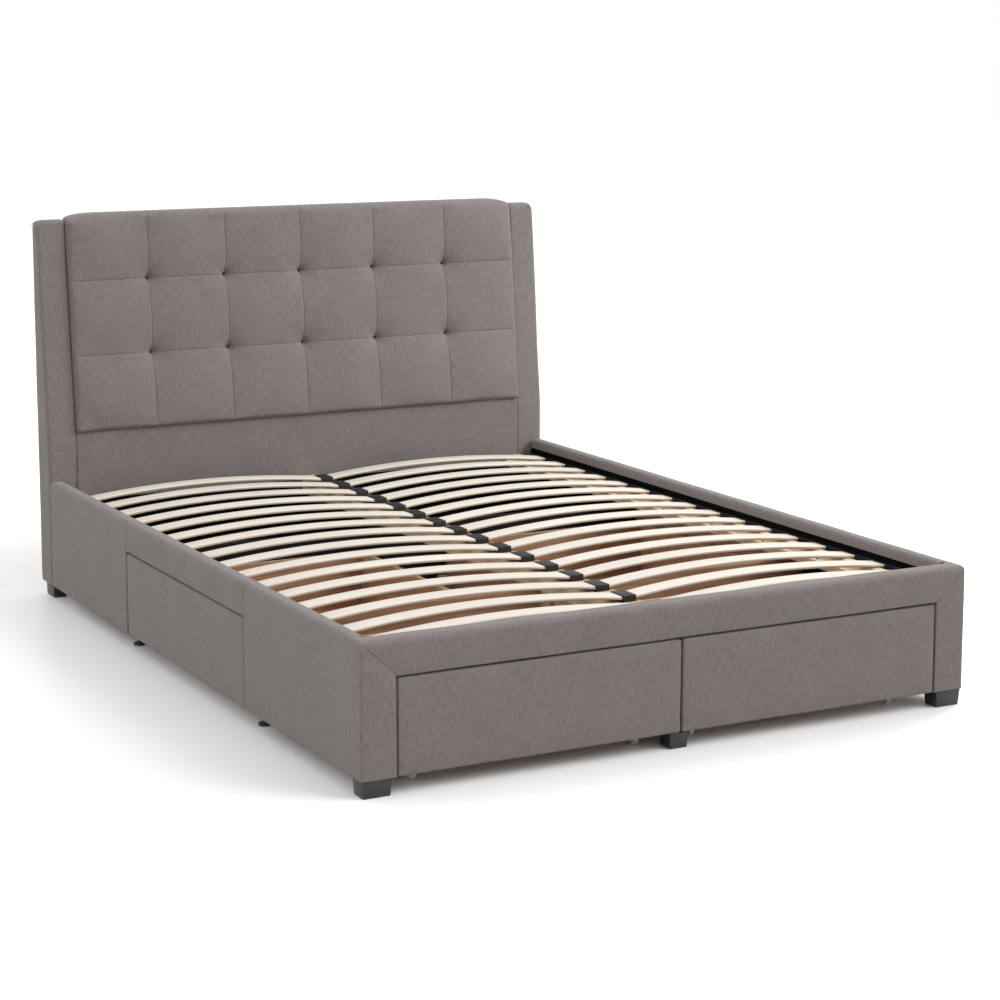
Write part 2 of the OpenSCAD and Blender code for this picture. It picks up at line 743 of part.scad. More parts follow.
// Battens along the dividers that the trays run past
module drawer_guides() color(pine) {
    z0 = tray_z + base_t + guide_h / 2;
    foot_tray_x = foot_mid_x - tray_w("foot_left") / 2;
    side_tray_y = tray_w("side_left") / 2;
    for (right = [false, true]) on_side(right) {
        block([-foot_tray_x + guide_clear, divider_y0, z0], [-divider_t / 2, divider_y1, z0 + guide_h]);
        block([-inner_half, near_y + divider_t, z0],
              [-inner_half + side_tray_d, side_mid_y - side_tray_y - guide_clear, z0 + guide_h]);
        block([-inner_half, side_mid_y + side_tray_y + guide_clear, z0],
              [-inner_half + side_tray_d, far_y, z0 + guide_h]);
    }
}

// Two sides, a back and an inner front, butted and screwed
module drawer_walls(name) color(board) place_drawer(name) {
    w = tray_w(name);
    y1 = front_t + tray_d(name);
    z0 = tray_z + base_t;
    for (s = [-1, 1])
        block([s * (w - wall_t) / 2 - wall_t / 2, front_t, z0],
              [s * (w - wall_t) / 2 + wall_t / 2, y1, z0 + tray_h]);
    for (y = [front_t, y1 - wall_t])
        block([-w / 2 + wall_t + joint_gap, y, z0], [w / 2 - wall_t - joint_gap, y + wall_t, z0 + tray_h]);
}

module drawer_base(name) color(board) place_drawer(name)
    block([-tray_w(name) / 2, front_t, tray_z], [tray_w(name) / 2, front_t + tray_d(name), tray_z + base_t]);

// Castor places, in front and behind
function castor_x(name) = front_w(name) / 2 - castor_in;
function castor_y(name, rear) = rear ? front_t + tray_d(name) - castor_rear : castor_front;

plate_l = 42;                                // castor plate
plate_w = 34;
plate_t = 2.5;
cheek_t = 2;
cheek_r = 6;                                 // round foot of a cheek
cheek_gap = 0.8;                             // clearance beside the wheel

// One fixed castor: a plate, two cheeks and the axle between them
module castor() difference() {
    union() {
        block([-plate_w / 2, -plate_l / 2, tray_z - plate_t], [plate_w / 2, plate_l / 2, tray_z]);
        for (s = [-1, 1]) {
            x = s * (wheel_w / 2 + cheek_gap + cheek_t / 2);
            along_x(x - cheek_t / 2, x + cheek_t / 2)
                polygon(concat([[plate_l / 2 - 8, tray_z - plate_t / 2],
                                [-plate_l / 2 + 8, tray_z - plate_t / 2]],
                               arc([0, axle_z], cheek_r, 200, 340)));
        }
        translate([-wheel_w / 2 - cheek_gap - cheek_t - 1, 0, axle_z]) rotate([0, 90, 0])
            cylinder(r = axle_r, h = wheel_w + 2 * cheek_gap + 2 * cheek_t + 2);
    }
}

module drawer_castors(name) color(grey) place_drawer(name)
    for (s = [-1, 1], rear = [false, true])
        translate([s * castor_x(name), castor_y(name, rear), 0]) castor();

// A wheel with a rounded tread, a dished side and a bored hub
module wheel() rotate([0, 90, 0]) rotate_extrude(convexity = 6)
    polygon(concat([[axle_r + axle_clear, -wheel_w / 2], [axle_r + 2.5, -wheel_w / 2],
                    [axle_r + 3.5, -wheel_w / 2 + 3], [wheel_r - 4.5, -wheel_w / 2 + 3],
                    [wheel_r - 4, -wheel_w / 2]],
                   arc([wheel_r - 3, -wheel_w / 2 + 3], 3, -90, 0, 4),
                   arc([wheel_r - 3, wheel_w / 2 - 3], 3, 0, 90, 4),
                   [[wheel_r - 4, wheel_w / 2], [wheel_r - 4.5, wheel_w / 2 - 3],
                    [axle_r + 3.5, wheel_w / 2 - 3], [axle_r + 2.5, wheel_w / 2],
                    [axle_r + axle_clear, wheel_w / 2]]));

module drawer_wheels(name, rear) color(grey) place_drawer(name)
    for (s = [-1, 1]) translate([s * castor_x(name), castor_y(name, rear), axle_z]) wheel();

// ---- the assembly ----

headboard_core();
headboard_cover();
headboard_panel();
headboard_buttons();
headboard_back_cloth();
headboard_legs();
footboard_core();
footboard_cover();
footboard_legs();
footboard_centre_leg();
rail_core(false);  // left_rail_core
rail_core(true);  // right_rail_core
rail_cover(false);  // left_rail_cover
rail_cover(true);  // right_rail_cover
inner_linings();
slat_angles();
slat_ledges();
ledge_screws();
levelling_feet();
corner_brackets();
corner_bolts();
centre_beam();
beam_hangers();
centre_posts();
post_feet();
foot_divider();
near_cross_divider();
far_cross_divider();
drawer_guides();
slats_left();
slats_right();
centre_caps();
drawer_front("foot_left");  // foot_left_front
drawer_cover("foot_left");  // foot_left_cover
drawer_walls("foot_left");  // foot_left_walls
drawer_base("foot_left");  // foot_left_base
drawer_castors("foot_left");  // foot_left_castors
drawer_wheels("foot_left", false);  // foot_left_front_wheels
drawer_wheels("foot_left", true);  // foot_left_rear_wheels
drawer_front("foot_right");  // foot_right_front
drawer_cover("foot_right");  // foot_right_cover
drawer_walls("foot_right");  // foot_right_walls
drawer_base("foot_right");  // foot_right_base
drawer_castors("foot_right");  // foot_right_castors
drawer_wheels("foot_right", false);  // foot_right_front_wheels
drawer_wheels("foot_right", true);  // foot_right_rear_wheels
drawer_front("side_left");  // side_left_front
drawer_cover("side_left");  // side_left_cover
drawer_walls("side_left");  // side_left_walls
drawer_base("side_left");  // side_left_base
drawer_castors("side_left");  // side_left_castors
drawer_wheels("side_left", false);  // side_left_front_wheels
drawer_wheels("side_left", true);  // side_left_rear_wheels
drawer_front("side_right");  // side_right_front
drawer_cover("side_right");  // side_right_cover
drawer_walls("side_right");  // side_right_walls
drawer_base("side_right");  // side_right_base
drawer_castors("side_right");  // side_right_castors
drawer_wheels("side_right", false);  // side_right_front_wheels
drawer_wheels("side_right", true);  // side_right_rear_wheels
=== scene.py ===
import math
import random

import bmesh
import bpy
import numpy as np
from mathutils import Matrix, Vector, noise


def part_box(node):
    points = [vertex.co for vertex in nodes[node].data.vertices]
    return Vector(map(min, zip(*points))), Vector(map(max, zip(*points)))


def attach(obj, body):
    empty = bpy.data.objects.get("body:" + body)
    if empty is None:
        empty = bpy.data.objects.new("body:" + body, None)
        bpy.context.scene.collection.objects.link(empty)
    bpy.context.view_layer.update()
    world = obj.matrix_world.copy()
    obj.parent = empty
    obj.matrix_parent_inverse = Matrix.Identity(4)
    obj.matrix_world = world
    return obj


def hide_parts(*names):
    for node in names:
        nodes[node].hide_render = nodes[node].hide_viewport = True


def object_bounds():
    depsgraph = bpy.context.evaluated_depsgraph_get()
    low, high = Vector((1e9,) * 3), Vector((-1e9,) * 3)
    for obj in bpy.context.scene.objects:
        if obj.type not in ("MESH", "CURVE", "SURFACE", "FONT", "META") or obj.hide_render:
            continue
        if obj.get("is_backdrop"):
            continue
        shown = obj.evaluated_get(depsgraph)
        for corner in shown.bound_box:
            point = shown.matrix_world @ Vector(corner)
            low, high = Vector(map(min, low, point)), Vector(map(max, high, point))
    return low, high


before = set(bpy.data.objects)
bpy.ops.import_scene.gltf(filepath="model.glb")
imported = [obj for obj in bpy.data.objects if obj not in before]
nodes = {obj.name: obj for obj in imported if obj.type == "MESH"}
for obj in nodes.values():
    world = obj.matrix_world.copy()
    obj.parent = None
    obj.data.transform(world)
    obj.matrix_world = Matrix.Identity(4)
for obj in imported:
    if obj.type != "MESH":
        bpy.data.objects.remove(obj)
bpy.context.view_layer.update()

# ---- camera ----
# Stands off the left foot corner at a little over headboard height and looks down
# across the foot. A long lens keeps the headboard and the foot in proportion.

camera = bpy.data.objects.new("camera", bpy.data.cameras.new("camera"))
bpy.context.scene.collection.objects.link(camera)
bpy.context.scene.camera = camera
camera.location = (-2.8783, -5.6220, 1.6107)
camera.rotation_euler = (math.radians(81), 0, -0.4898)
camera.data.sensor_width = 36
camera.data.lens = 87.74
camera.data.shift_y = -0.0828
camera.data.clip_end = 60

# ---- floor and light ----
# A seamless pale studio floor in a white room that lights the bed evenly. A broad far
# softbox stands beyond its right foot corner, a weaker one to its left and a small near
# one at its right, aimed at the headboard.

bpy.context.scene.view_settings.view_transform = "Standard"


def add(tree, kind, wires=None, **settings):
    """Adds a shader node, sets it up, and wires or fills its inputs."""
    made = tree.nodes.new("ShaderNode" + kind)
    for key, value in settings.items():
        setattr(made, key, value)
    for key, source in (wires or {}).items():
        if isinstance(source, bpy.types.NodeSocket):
            tree.links.new(source, made.inputs[key])
        else:
            made.inputs[key].default_value = source
    return made


def calc(tree, operation, *values):
    """The result of a Math node."""
    return add(tree, "Math", dict(enumerate(values)), operation=operation).outputs[0]


def spread(tree, value, **ends):
    """A value spread over a new range."""
    ends = {key.replace("_", " "): end for key, end in ends.items()}
    return add(tree, "MapRange", {"Value": value, **ends}).outputs[0]


def softbox(name, kind, strength, toward, spot=(0, 0, 0)):
    """A lamp at a spot whose light arrives from the direction toward."""
    lamp = bpy.data.lights.new(name, kind)
    lamp.energy = strength
    rig = bpy.data.objects.new(name, lamp)
    bpy.context.scene.collection.objects.link(rig)
    rig.location = spot
    rig.rotation_euler = Vector(toward).to_track_quat("Z", "Y").to_euler()
    return lamp, rig


world = bpy.data.worlds.new("studio")
world.use_nodes = True
bpy.context.scene.world = world
tree = world.node_tree
seen_by = add(tree, "LightPath").outputs
seen = calc(tree, "MAXIMUM", seen_by["Is Camera Ray"], seen_by["Is Transmission Ray"])
seen = calc(tree, "MAXIMUM", seen, seen_by["Is Glossy Ray"])
fill_level = spread(tree, seen, To_Min=0.95, To_Max=1.0)
tree.links.new(fill_level, tree.nodes["Background"].inputs["Strength"])
tree.nodes["Background"].inputs["Color"].default_value = (1, 1, 1, 1)

for name, strength, width, toward in (("right_softbox", 1.65, 34, (0.60, -0.54, 0.57)),
                                      ("left_softbox", 0.80, 55, (-0.86, 0.16, 0.42))):
    lamp, rig = softbox(name, "SUN", strength, toward)
    lamp.angle = math.radians(width)
near_spot, aim = Vector((2.3, -0.35, 1.75)), Vector((0, 1.0, 0.8))
lamp, rig = softbox("headboard_softbox", "AREA", 28, near_spot - aim, near_spot)
lamp.shape, lamp.size = "SQUARE", 0.9
rig.visible_camera = False

bpy.ops.object.select_all(action="DESELECT")
bpy.ops.mesh.primitive_plane_add(size=60)
floor = bpy.context.object
floor.name = floor.data.name = "studio_floor"
floor_paint = bpy.data.materials.new("floor_paint")
floor_paint.use_nodes = True
tree = floor_paint.node_tree
paint = tree.nodes["Principled BSDF"]
paint.inputs["Roughness"].default_value = 0.42
paint.inputs["Specular IOR Level"].default_value = 0.35
seen_by = add(tree, "LightPath").outputs
seen = calc(tree, "MAXIMUM", seen_by["Is Camera Ray"], seen_by["Is Glossy Ray"])
cast_tone, seen_tone = 0.45, 0.965      # the floor throws back less light than it shows
floor_tone = add(tree, "Mix", {"Factor": seen}, data_type="RGBA")
floor_tone.inputs[6].default_value = (cast_tone, cast_tone, cast_tone, 1)
floor_tone.inputs[7].default_value = (seen_tone, seen_tone, seen_tone, 1)
tree.links.new(floor_tone.outputs[2], paint.inputs["Base Color"])
floor.data.materials.append(floor_paint)
floor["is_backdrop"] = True

# ---- headboard frame ----
# A flat softwood board carries the whole headboard, with one short black leg under
# each end. The board itself is hidden once the fabric is on.


def new_effect(name, **levels):
    """An empty shader group that makes a tone and a height: its tree, inputs and outputs."""
    tree = bpy.data.node_groups.new(name, "ShaderNodeTree")
    tree.interface.new_socket("Vector", in_out="INPUT", socket_type="NodeSocketVector")
    for label, level in levels.items():
        tree.interface.new_socket(label, in_out="INPUT", socket_type="NodeSocketFloat").default_value = level
    for label in ("Tone", "Height"):
        tree.interface.new_socket(label, in_out="OUTPUT", socket_type="NodeSocketFloat")
    return tree, tree.nodes.new("NodeGroupInput").outputs, tree.nodes.new("NodeGroupOutput").inputs


def place(tree, effect, **values):
    """Places a shader group in a material with its own values."""
    made = tree.nodes.new("ShaderNodeGroup")
    made.node_tree = effect
    for key, source in values.items():
        if isinstance(source, bpy.types.NodeSocket):
            tree.links.new(source, made.inputs[key])
        else:
            made.inputs[key].default_value = source
    return made.outputs


def new_finish(name, **values):
    """A material with its Principled shader's plain values set: tree and shader."""
    finish = bpy.data.materials.new(name)
    finish.use_nodes = True
    shader = finish.node_tree.nodes["Principled BSDF"]
    for key, value in values.items():
        shader.inputs[key.replace("_", " ")].default_value = value
    return finish, finish.node_tree, shader


def tint(tree, shader, tone, dark, light):
    """Base colour from dark to light by a tone that runs from 0 to 1."""
    mixed = add(tree, "Mix", {"Factor": tone}, data_type="RGBA")
    mixed.inputs[6].default_value, mixed.inputs[7].default_value = (*dark, 1), (*light, 1)
    tree.links.new(mixed.outputs[2], shader.inputs["Base Color"])
    return mixed


def relief(tree, shader, height, depth):
    """Surface relief of a height that runs from 0 to 1, over a depth in metres."""
    bump = add(tree, "Bump", {"Height": height, "Distance": depth})
    tree.links.new(bump.outputs[0], shader.inputs["Normal"])


def vary(tree, shader, tone, low, high):
    """Roughness from low to high by a tone."""
    tree.links.new(spread(tree, tone, To_Min=low, To_Max=high), shader.inputs["Roughness"])


def stretched(tree, vector, reach):
    """A vector stretched along each axis."""
    return add(tree, "VectorMath", {0: vector, 1: reach}, operation="MULTIPLY").outputs[0]


def clouds(tree, vector, scale, detail, **more):
    """Soft noise over a vector."""
    return add(tree, "TexNoise", {"Vector": vector, "Scale": scale, "Detail": detail, **more}).outputs[0]


# wood grain: long fibres along X of the vector, pores and slow bands
grain, given, out = new_effect("wood_grain", Fibre=260.0, Bands=22.0)
drawn_out = stretched(grain, given["Vector"], (0.035, 1, 1))
fibre = clouds(grain, drawn_out, given["Fibre"], 4.0)
band = clouds(grain, drawn_out, given["Bands"], 3.0, Distortion=1.2)
tone = calc(grain, "MULTIPLY_ADD", band, 0.55, calc(grain, "MULTIPLY", fibre, 0.45))
grain.links.new(spread(grain, tone, From_Min=0.33, From_Max=0.67), out["Tone"])
grain.links.new(fibre, out["Height"])


def wood(name, dark, light, rough=(0.5, 0.65), turn=(0, 0, 0), fibre=260.0, bands=22.0):
    """Bare or coated timber whose grain runs along X, turned by turn."""
    finish, tree, shader = new_finish(name, Specular_IOR_Level=0.35)
    where = add(tree, "TexCoord")
    along = add(tree, "Mapping", {"Vector": where.outputs["Object"], "Rotation": turn})
    look = place(tree, grain, Vector=along.outputs[0], Fibre=fibre, Bands=bands)
    tint(tree, shader, look["Tone"], dark, light)
    vary(tree, shader, look["Height"], *rough)
    relief(tree, shader, look["Height"], 0.0003)
    return finish


quarter = math.pi / 2
softwood = wood("pine_across", (0.52, 0.36, 0.21), (0.72, 0.55, 0.37))
softwood_along = wood("pine_along", (0.52, 0.36, 0.21), (0.72, 0.55, 0.37), turn=(0, 0, quarter))
softwood_up = wood("pine_upright", (0.50, 0.35, 0.22), (0.70, 0.54, 0.38), turn=(0, quarter, 0))


def coat(material, *names):
    """Gives CAD nodes a finish."""
    for name in names:
        for slot in nodes[name].material_slots:
            slot.material = material


coat(softwood, "headboard_core")

# speckle: the fine unevenness of lacquer, powder coat and moulded plastic
speckle, given, out = new_effect("speckle", Scale=900.0)
fine = clouds(speckle, given["Vector"], given["Scale"], 2.0)
slow = clouds(speckle, given["Vector"], 14.0, 3.0)
mean = calc(speckle, "MULTIPLY", calc(speckle, "ADD", fine, slow), 0.5)
speckle.links.new(mean, out["Tone"])
speckle.links.new(fine, out["Height"])


def coated(name, dark, light, rough, scale=900.0, depth=0.00006, **values):
    """Lacquer, powder coat or moulded plastic."""
    finish, tree, shader = new_finish(name, **values)
    where = add(tree, "TexCoord")
    look = place(tree, speckle, Vector=where.outputs["Object"], Scale=scale)
    tint(tree, shader, look["Tone"], dark, light)
    vary(tree, shader, look["Tone"], *rough)
    relief(tree, shader, look["Height"], depth)
    return finish


black_lacquer = coated("black_lacquer", (0.009, 0.009, 0.0095), (0.022, 0.022, 0.023), (0.34, 0.5),
                       scale=420.0, depth=0.00012)


def take(*pieces):
    """Selects only these pieces, the first as the active one."""
    bpy.ops.object.select_all(action="DESELECT")
    for piece in pieces:
        piece.select_set(True)
    if pieces:
        bpy.context.view_layer.objects.active = pieces[0]


def join(name, pieces):
    """Joins pieces into the first, under one name."""
    take(*pieces)
    if len(pieces) > 1:
        bpy.ops.object.join()
    pieces[0].name = pieces[0].data.name = name
    return pieces[0]


def copied(pattern, name):
    """A copy with a mesh of its own."""
    piece = pattern.copy()
    piece.data = pattern.data.copy()
    piece.name = piece.data.name = name
    bpy.context.scene.collection.objects.link(piece)
    return piece


def block(name, low, high):
    """A block between two corners, with its place in its mesh."""
    take()
    low, high = Vector(low), Vector(high)
    bpy.ops.mesh.primitive_cube_add(size=1, location=(low + high) / 2, scale=high - low)
    piece = bpy.context.object
    piece.name = piece.data.name = name
    bpy.ops.object.transform_apply(location=True, rotation=True, scale=True)
    return piece


def edit(piece):
    """Opens a piece in edit mode with nothing selected."""
    take(piece)
    bpy.ops.object.mode_set(mode="EDIT")
    bpy.ops.mesh.select_all(action="DESELECT")


def done():
    """Closes edit mode."""
    bpy.ops.object.mode_set(mode="OBJECT")


hair = 0.001                            # how near counts as on an edge or a face


def pick(kind, test):
    """Selects the faces, edges or corners of the open piece whose middle passes the test."""
    bpy.ops.mesh.select_mode(type=kind)
    bpy.ops.mesh.select_all(action="DESELECT")
    mesh = bmesh.from_edit_mesh(bpy.context.object.data)
    for item in {"VERT": mesh.verts, "EDGE": mesh.edges, "FACE": mesh.faces}[kind]:
        spot = item.co if kind == "VERT" else (
            item.calc_center_median() if kind == "FACE" else (item.verts[0].co + item.verts[1].co) / 2)
        if test(spot, item):
            item.select_set(True)
    mesh.select_flush_mode()
    bmesh.update_edit_mesh(bpy.context.object.data)


def cut_away(test):
    """Deletes the faces of the open piece whose middle passes the test."""
    pick("FACE", test)
    bpy.ops.mesh.delete(type="FACE")


def draw_out(*step):
    """Draws what is selected out by a step."""
    bpy.ops.mesh.extrude_region_move(TRANSFORM_OT_translate={"value": step})


right, ahead, up = Vector((1, 0, 0)), Vector((0, 1, 0)), Vector((0, 0, 1))


def score(axis, *places):
    """Cuts edge loops round the open piece where planes cross an axis."""
    for spot in places:
        bpy.ops.mesh.select_all(action="SELECT")
        bpy.ops.mesh.bisect(plane_co=axis * spot, plane_no=axis)


def modify(piece, kind, **settings):
    """Adds a modifier and applies it."""
    take(piece)
    made = piece.modifiers.new(kind.lower(), kind)
    for key, value in settings.items():
        setattr(made, key, value)
    bpy.ops.object.modifier_apply(modifier=made.name)


def edge_weights(work, name):
    """A named weight on a mesh's edges."""
    layers = work.edges.layers.float
    return layers.get(name) or layers.new(name)


def ease(piece, radius, share=None, segments=3):
    """Rounds the sharp edges, each by its share of the radius."""
    mesh = piece.data
    work = bmesh.new()
    work.from_mesh(mesh)
    layer = edge_weights(work, "bevel_weight_edge")
    for edge in work.edges:
        sharp = len(edge.link_faces) == 2 and edge.calc_face_angle(0) > 0.5
        spot = (edge.verts[0].co + edge.verts[1].co) / 2
        edge[layer] = (share(spot, edge) if share else 1.0) if sharp else 0.0
    work.to_mesh(mesh)
    work.free()
    modify(piece, "BEVEL", width=radius, segments=segments, limit_method="WEIGHT", use_clamp_overlap=True)


def smooth(piece):
    """Smooth shading with its sharp edges kept."""
    take(piece)
    bpy.ops.object.shade_smooth_by_angle(angle=math.radians(38))


def hand_over(piece, body, slot, *stands_for):
    """Gives a piece its body and hides the CAD nodes that it stands for. The slot is not used."""
    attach(piece, body)
    if stands_for:
        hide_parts(*stands_for)


def settle(piece, finish, body, slot, *stands_for):
    """Shades a finished piece and hands it over."""
    piece.data.materials.clear()
    piece.data.materials.append(finish)
    smooth(piece)
    hand_over(piece, body, slot, *stands_for)


def tapered_legs(name, node, sides, width, depth, taper):
    """Square lacquered legs at the ends of a node's box, narrower at the floor by the taper."""
    low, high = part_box(node)
    legs = []
    for s in sides:
        x, y = s * (high.x - width / 2), (low.y + high.y) / 2
        leg = block(name, (x - width / 2, y - depth / 2, 0), (x + width / 2, y + depth / 2, high.z))
        edit(leg)
        pick("VERT", lambda at, item: at.z < high.z / 2)
        bpy.ops.transform.resize(value=((width - taper) / width, (depth - taper) / depth, 1),
                                 center_override=(x, y, 0))
        done()
        ease(leg, 0.0016)
        legs.append(leg)
    settle(join(name, legs), black_lacquer, "root", "leg_lacquer", node)


tapered_legs("wing_legs", "headboard_legs", (-1, 1), 0.040, 0.067, 0.003)

# ---- headboard wings and apron ----
# The front is dressed in a warm grey linen-look weave over thin foam: a wing at each
# side that thins and leans back towards the top, and a plain apron under the panel,
# sewn to the wings with upright seams. Each is pulled round to the back and stapled.

# weave: threads over and under, slubs along both threads, and slow shading
weave, given, out = new_effect("weave", Threads=820.0)
threads = add(weave, "VectorMath", {0: given["Vector"]}, operation="SCALE")
weave.links.new(given["Threads"], threads.inputs["Scale"])
split = add(weave, "SeparateXYZ", {0: threads.outputs[0]}).outputs
waves = [calc(weave, "SINE", calc(weave, "MULTIPLY", split[axis], math.pi)) for axis in (0, 1)]
raised = calc(weave, "MULTIPLY_ADD", calc(weave, "MULTIPLY", *waves), 0.5, 0.5)
weave.links.new(raised, out["Height"])
tone = 0.0
for reach, share in (((310, 46, 1), 0.95), ((40, 330, 1), 0.30), ((9, 6, 1), 0.25), ((430, 400, 1), 0.60)):
    cloudy = clouds(weave, stretched(weave, given["Vector"], reach), 1.0, 2.0)
    tone = calc(weave, "MULTIPLY_ADD", calc(weave, "SUBTRACT", cloudy, 0.5), share, tone)
weave.links.new(calc(weave, "ADD", tone, 0.5), out["Tone"])


def cloth(name, dark, light, sheen, gloss, threads=820.0, depth=0.00025):
    """Woven cloth whose threads follow the piece's own map."""
    finish, tree, shader = new_finish(name, Roughness=0.85, Specular_IOR_Level=gloss, Sheen_Weight=sheen,
                                      Sheen_Roughness=0.5)
    where = add(tree, "TexCoord")
    look = place(tree, weave, Vector=where.outputs["UV"], Threads=threads)
    tint(tree, shader, look["Tone"], dark, light)
    vary(tree, shader, look["Tone"], 0.95, 0.78)
    relief(tree, shader, look["Height"], depth)
    return finish


linen = cloth("warm_grey_linen", (0.104, 0.0902, 0.0843), (0.236, 0.2098, 0.2002), 0.15, 0.14)


def soften(piece, amount, reach, seed=0.0):
    """Moves the surface in and out a little, as foam under cloth does."""
    mesh = piece.data
    push = [noise.noise(vertex.co * (1 / reach) + Vector((seed, 0, 0))) * amount for vertex in mesh.vertices]
    for vertex, step in zip(mesh.vertices, push):
        vertex.co += vertex.normal * step
    mesh.update()


def map_threads(piece):
    """Lays the weave on a piece in metres, straight with its faces."""
    edit(piece)
    bpy.ops.mesh.select_all(action="SELECT")
    bpy.ops.uv.cube_project(cube_size=1.0)
    done()


seam_w = 0.0016                         # half the width of a sewn seam


def sew(piece, point, normal, test, depth=0.0016):
    """Sews a seam where a plane crosses the faces that pass the test."""
    normal = Vector(normal).normalized()
    edit(piece)
    for step in (-1, 1, 0):
        pick("FACE", test)
        bpy.ops.mesh.bisect(plane_co=Vector(point) + normal * step * seam_w, plane_no=normal)
    mesh = bmesh.from_edit_mesh(piece.data)
    mesh.normal_update()
    for vertex in mesh.verts:
        if abs((vertex.co - Vector(point)).dot(normal)) < 1e-5 and any(
                test(face.calc_center_median(), face) for face in vertex.link_faces):
            vertex.co -= vertex.normal * depth
    bmesh.update_edit_mesh(piece.data)
    done()


def steps(start, end, pace):
    """Even places between two ends, about a pace apart."""
    count = max(1, round(abs(end - start) / pace))
    return [start + (end - start) * i / count for i in range(1, count)]


wing_low, wing_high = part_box("headboard_cover")
panel_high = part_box("headboard_panel")[1]
lean_from = 0.455                       # the front is upright up to here
top_thick = 0.040                       # thickness of a wing at its top
panel_foot = 0.480                      # underside of the tufted panel
turn_over = 0.024                       # cloth turned over onto the back
wing_round = 0.024                      # radius of a wing's outer top corner
board_pace = 0.10                       # between cuts that let a board's face undulate
foam_round = 0.014                      # full radius of a padded edge here
staple_line = 0.003                     # depth of the back that stays flat
face_y = wing_low.y


def dressed_board(name, low, high, leans):
    """A board wrapped in foam and cloth, open at the back inside its turned-over border."""
    piece = block(name, low, high)
    edit(piece)
    if leans:
        score(up, lean_from)
        pick("VERT", lambda at, item: at.z > high[2] - hair and at.y < face_y + hair)
        bpy.ops.transform.translate(value=(0, high[1] - top_thick - face_y, 0))
        pick("EDGE", lambda at, item: at.z > high[2] - hair and abs(abs(at.x) - wing_high.x) < hair)
        bpy.ops.mesh.bevel(offset=wing_round, segments=6, affect="EDGES")
    score(up, *steps(low[2], high[2], board_pace))
    score(right, *steps(low[0], high[0], board_pace), low[0] + turn_over, high[0] - turn_over)
    score(up, low[2] + turn_over, high[2] - turn_over)
    cut_away(lambda at, item: item.normal.y > 0.9 and low[0] + turn_over < at.x < high[0] - turn_over
             and low[2] + turn_over < at.z < high[2] - turn_over)
    done()
    return piece


parts = []
for s in (-1, 1):
    edge, inner = s * wing_high.x, s * (panel_high.x + 0.0006)
    wing = dressed_board("wing", (min(edge, inner), wing_low.y, wing_low.z),
                         (max(edge, inner), wing_high.y - 0.001, wing_high.z), True)

    def wing_edge(at, item, edge=edge, inner=inner):
        if at.z > wing_high.z - wing_round - hair and abs(at.x - edge) < wing_round + hair:
            return 0.8 if at.y < wing_high.y - staple_line else 0.35
        upright = abs((item.verts[0].co - item.verts[1].co).normalized().z) > 0.7
        if at.z > wing_high.z - hair:
            return 1.0 if abs(at.x - edge) > hair and abs(at.x - inner) > hair else 0.6
        if upright and at.y > wing_high.y - staple_line:
            return 0.35 if abs(at.x - edge) < hair else 0.1
        if upright:
            return 0.75 if abs(at.x - edge) < hair else (0.5 if at.z > panel_foot else 0.08)
        return 0.3 if at.z < wing_low.z + hair else 0.0
    ease(wing, foam_round, wing_edge, 5)
    parts.append(wing)
apron = dressed_board("apron", (-panel_high.x, wing_low.y, wing_low.z),
                      (panel_high.x, wing_high.y - 0.001, panel_foot), False)
ease(apron, foam_round, lambda at, item: 0.3 if at.z < wing_low.z + hair
     else 0.2 if at.z > panel_foot - hair else 0.08)
headboard_cloth = join("headboard_cloth", [*parts, apron])
modify(headboard_cloth, "SUBSURF", subdivision_type="SIMPLE", levels=2, render_levels=2)
soften(headboard_cloth, 0.0012, 0.14)
for vertex in headboard_cloth.data.vertices:
    if vertex.co.y > wing_high.y - staple_line:
        vertex.co.y = wing_high.y - 0.001
modify(headboard_cloth, "SOLIDIFY", thickness=0.001, offset=-1)
map_threads(headboard_cloth)
settle(headboard_cloth, linen, "root", "upholstery", "headboard_cover")

# ---- tufted panel ----
# A thick foam pad in its own cover stands proud between the wings. Sewn seams part it
# into six by three squares, and ten deep tufts pull the cover in where they cross.


beside_seam = (0.0024, 0.0065, 0.0115)  # threads kept close beside each seam


def fold_in(extent, roll, wall, pace, marks=()):
    """Thread lines of cloth across a pad: (length along the cloth, place, turn, depth up the wall).

    The turn runs from -1 on the near wall through 0 on the face to 1 on the far wall."""
    bend = roll * quarter
    flat = sorted({roll, extent - roll, *marks,
                   *[mark + s * gap for mark in marks for s in (-1, 1) for gap in beside_seam]})
    run = []
    for a, b in zip(flat, flat[1:]):
        run += [a, *steps(a, b, pace)]
    run.append(extent - roll)
    side = [(wall * k / 3, 1.0, wall * (3 - k) / 3) for k in range(4)]
    side += [(wall + bend * k / 4, 1 - k / 4, 0.0) for k in range(1, 4)]
    total = 2 * (wall + bend) + extent - 2 * roll
    lines = [(length, roll, -turn, back) for length, turn, back in side]
    lines += [(wall + bend + spot - roll, spot, 0.0, 0.0) for spot in run]
    return lines + [(total - length, extent - roll, turn, back) for length, turn, back in reversed(side)]


def thread_grid(name, columns, rows):
    """A grid mapped by its thread lines, in metres: the piece and the lines that cross at each corner."""
    take()
    bpy.ops.mesh.primitive_grid_add(x_subdivisions=len(columns) - 1, y_subdivisions=len(rows) - 1, size=1)
    piece = bpy.context.object
    piece.name = piece.data.name = name
    mesh = piece.data
    crossings = [(round((v.co.x + 0.5) * (len(columns) - 1)), round((v.co.y + 0.5) * (len(rows) - 1)))
                 for v in mesh.vertices]
    threads_map = mesh.uv_layers.active or mesh.uv_layers.new(name="UVMap")
    for loop in mesh.loops:
        i, j = crossings[loop.vertex_index]
        threads_map.data[loop.index].uv = (columns[i], rows[j])
    return piece, crossings


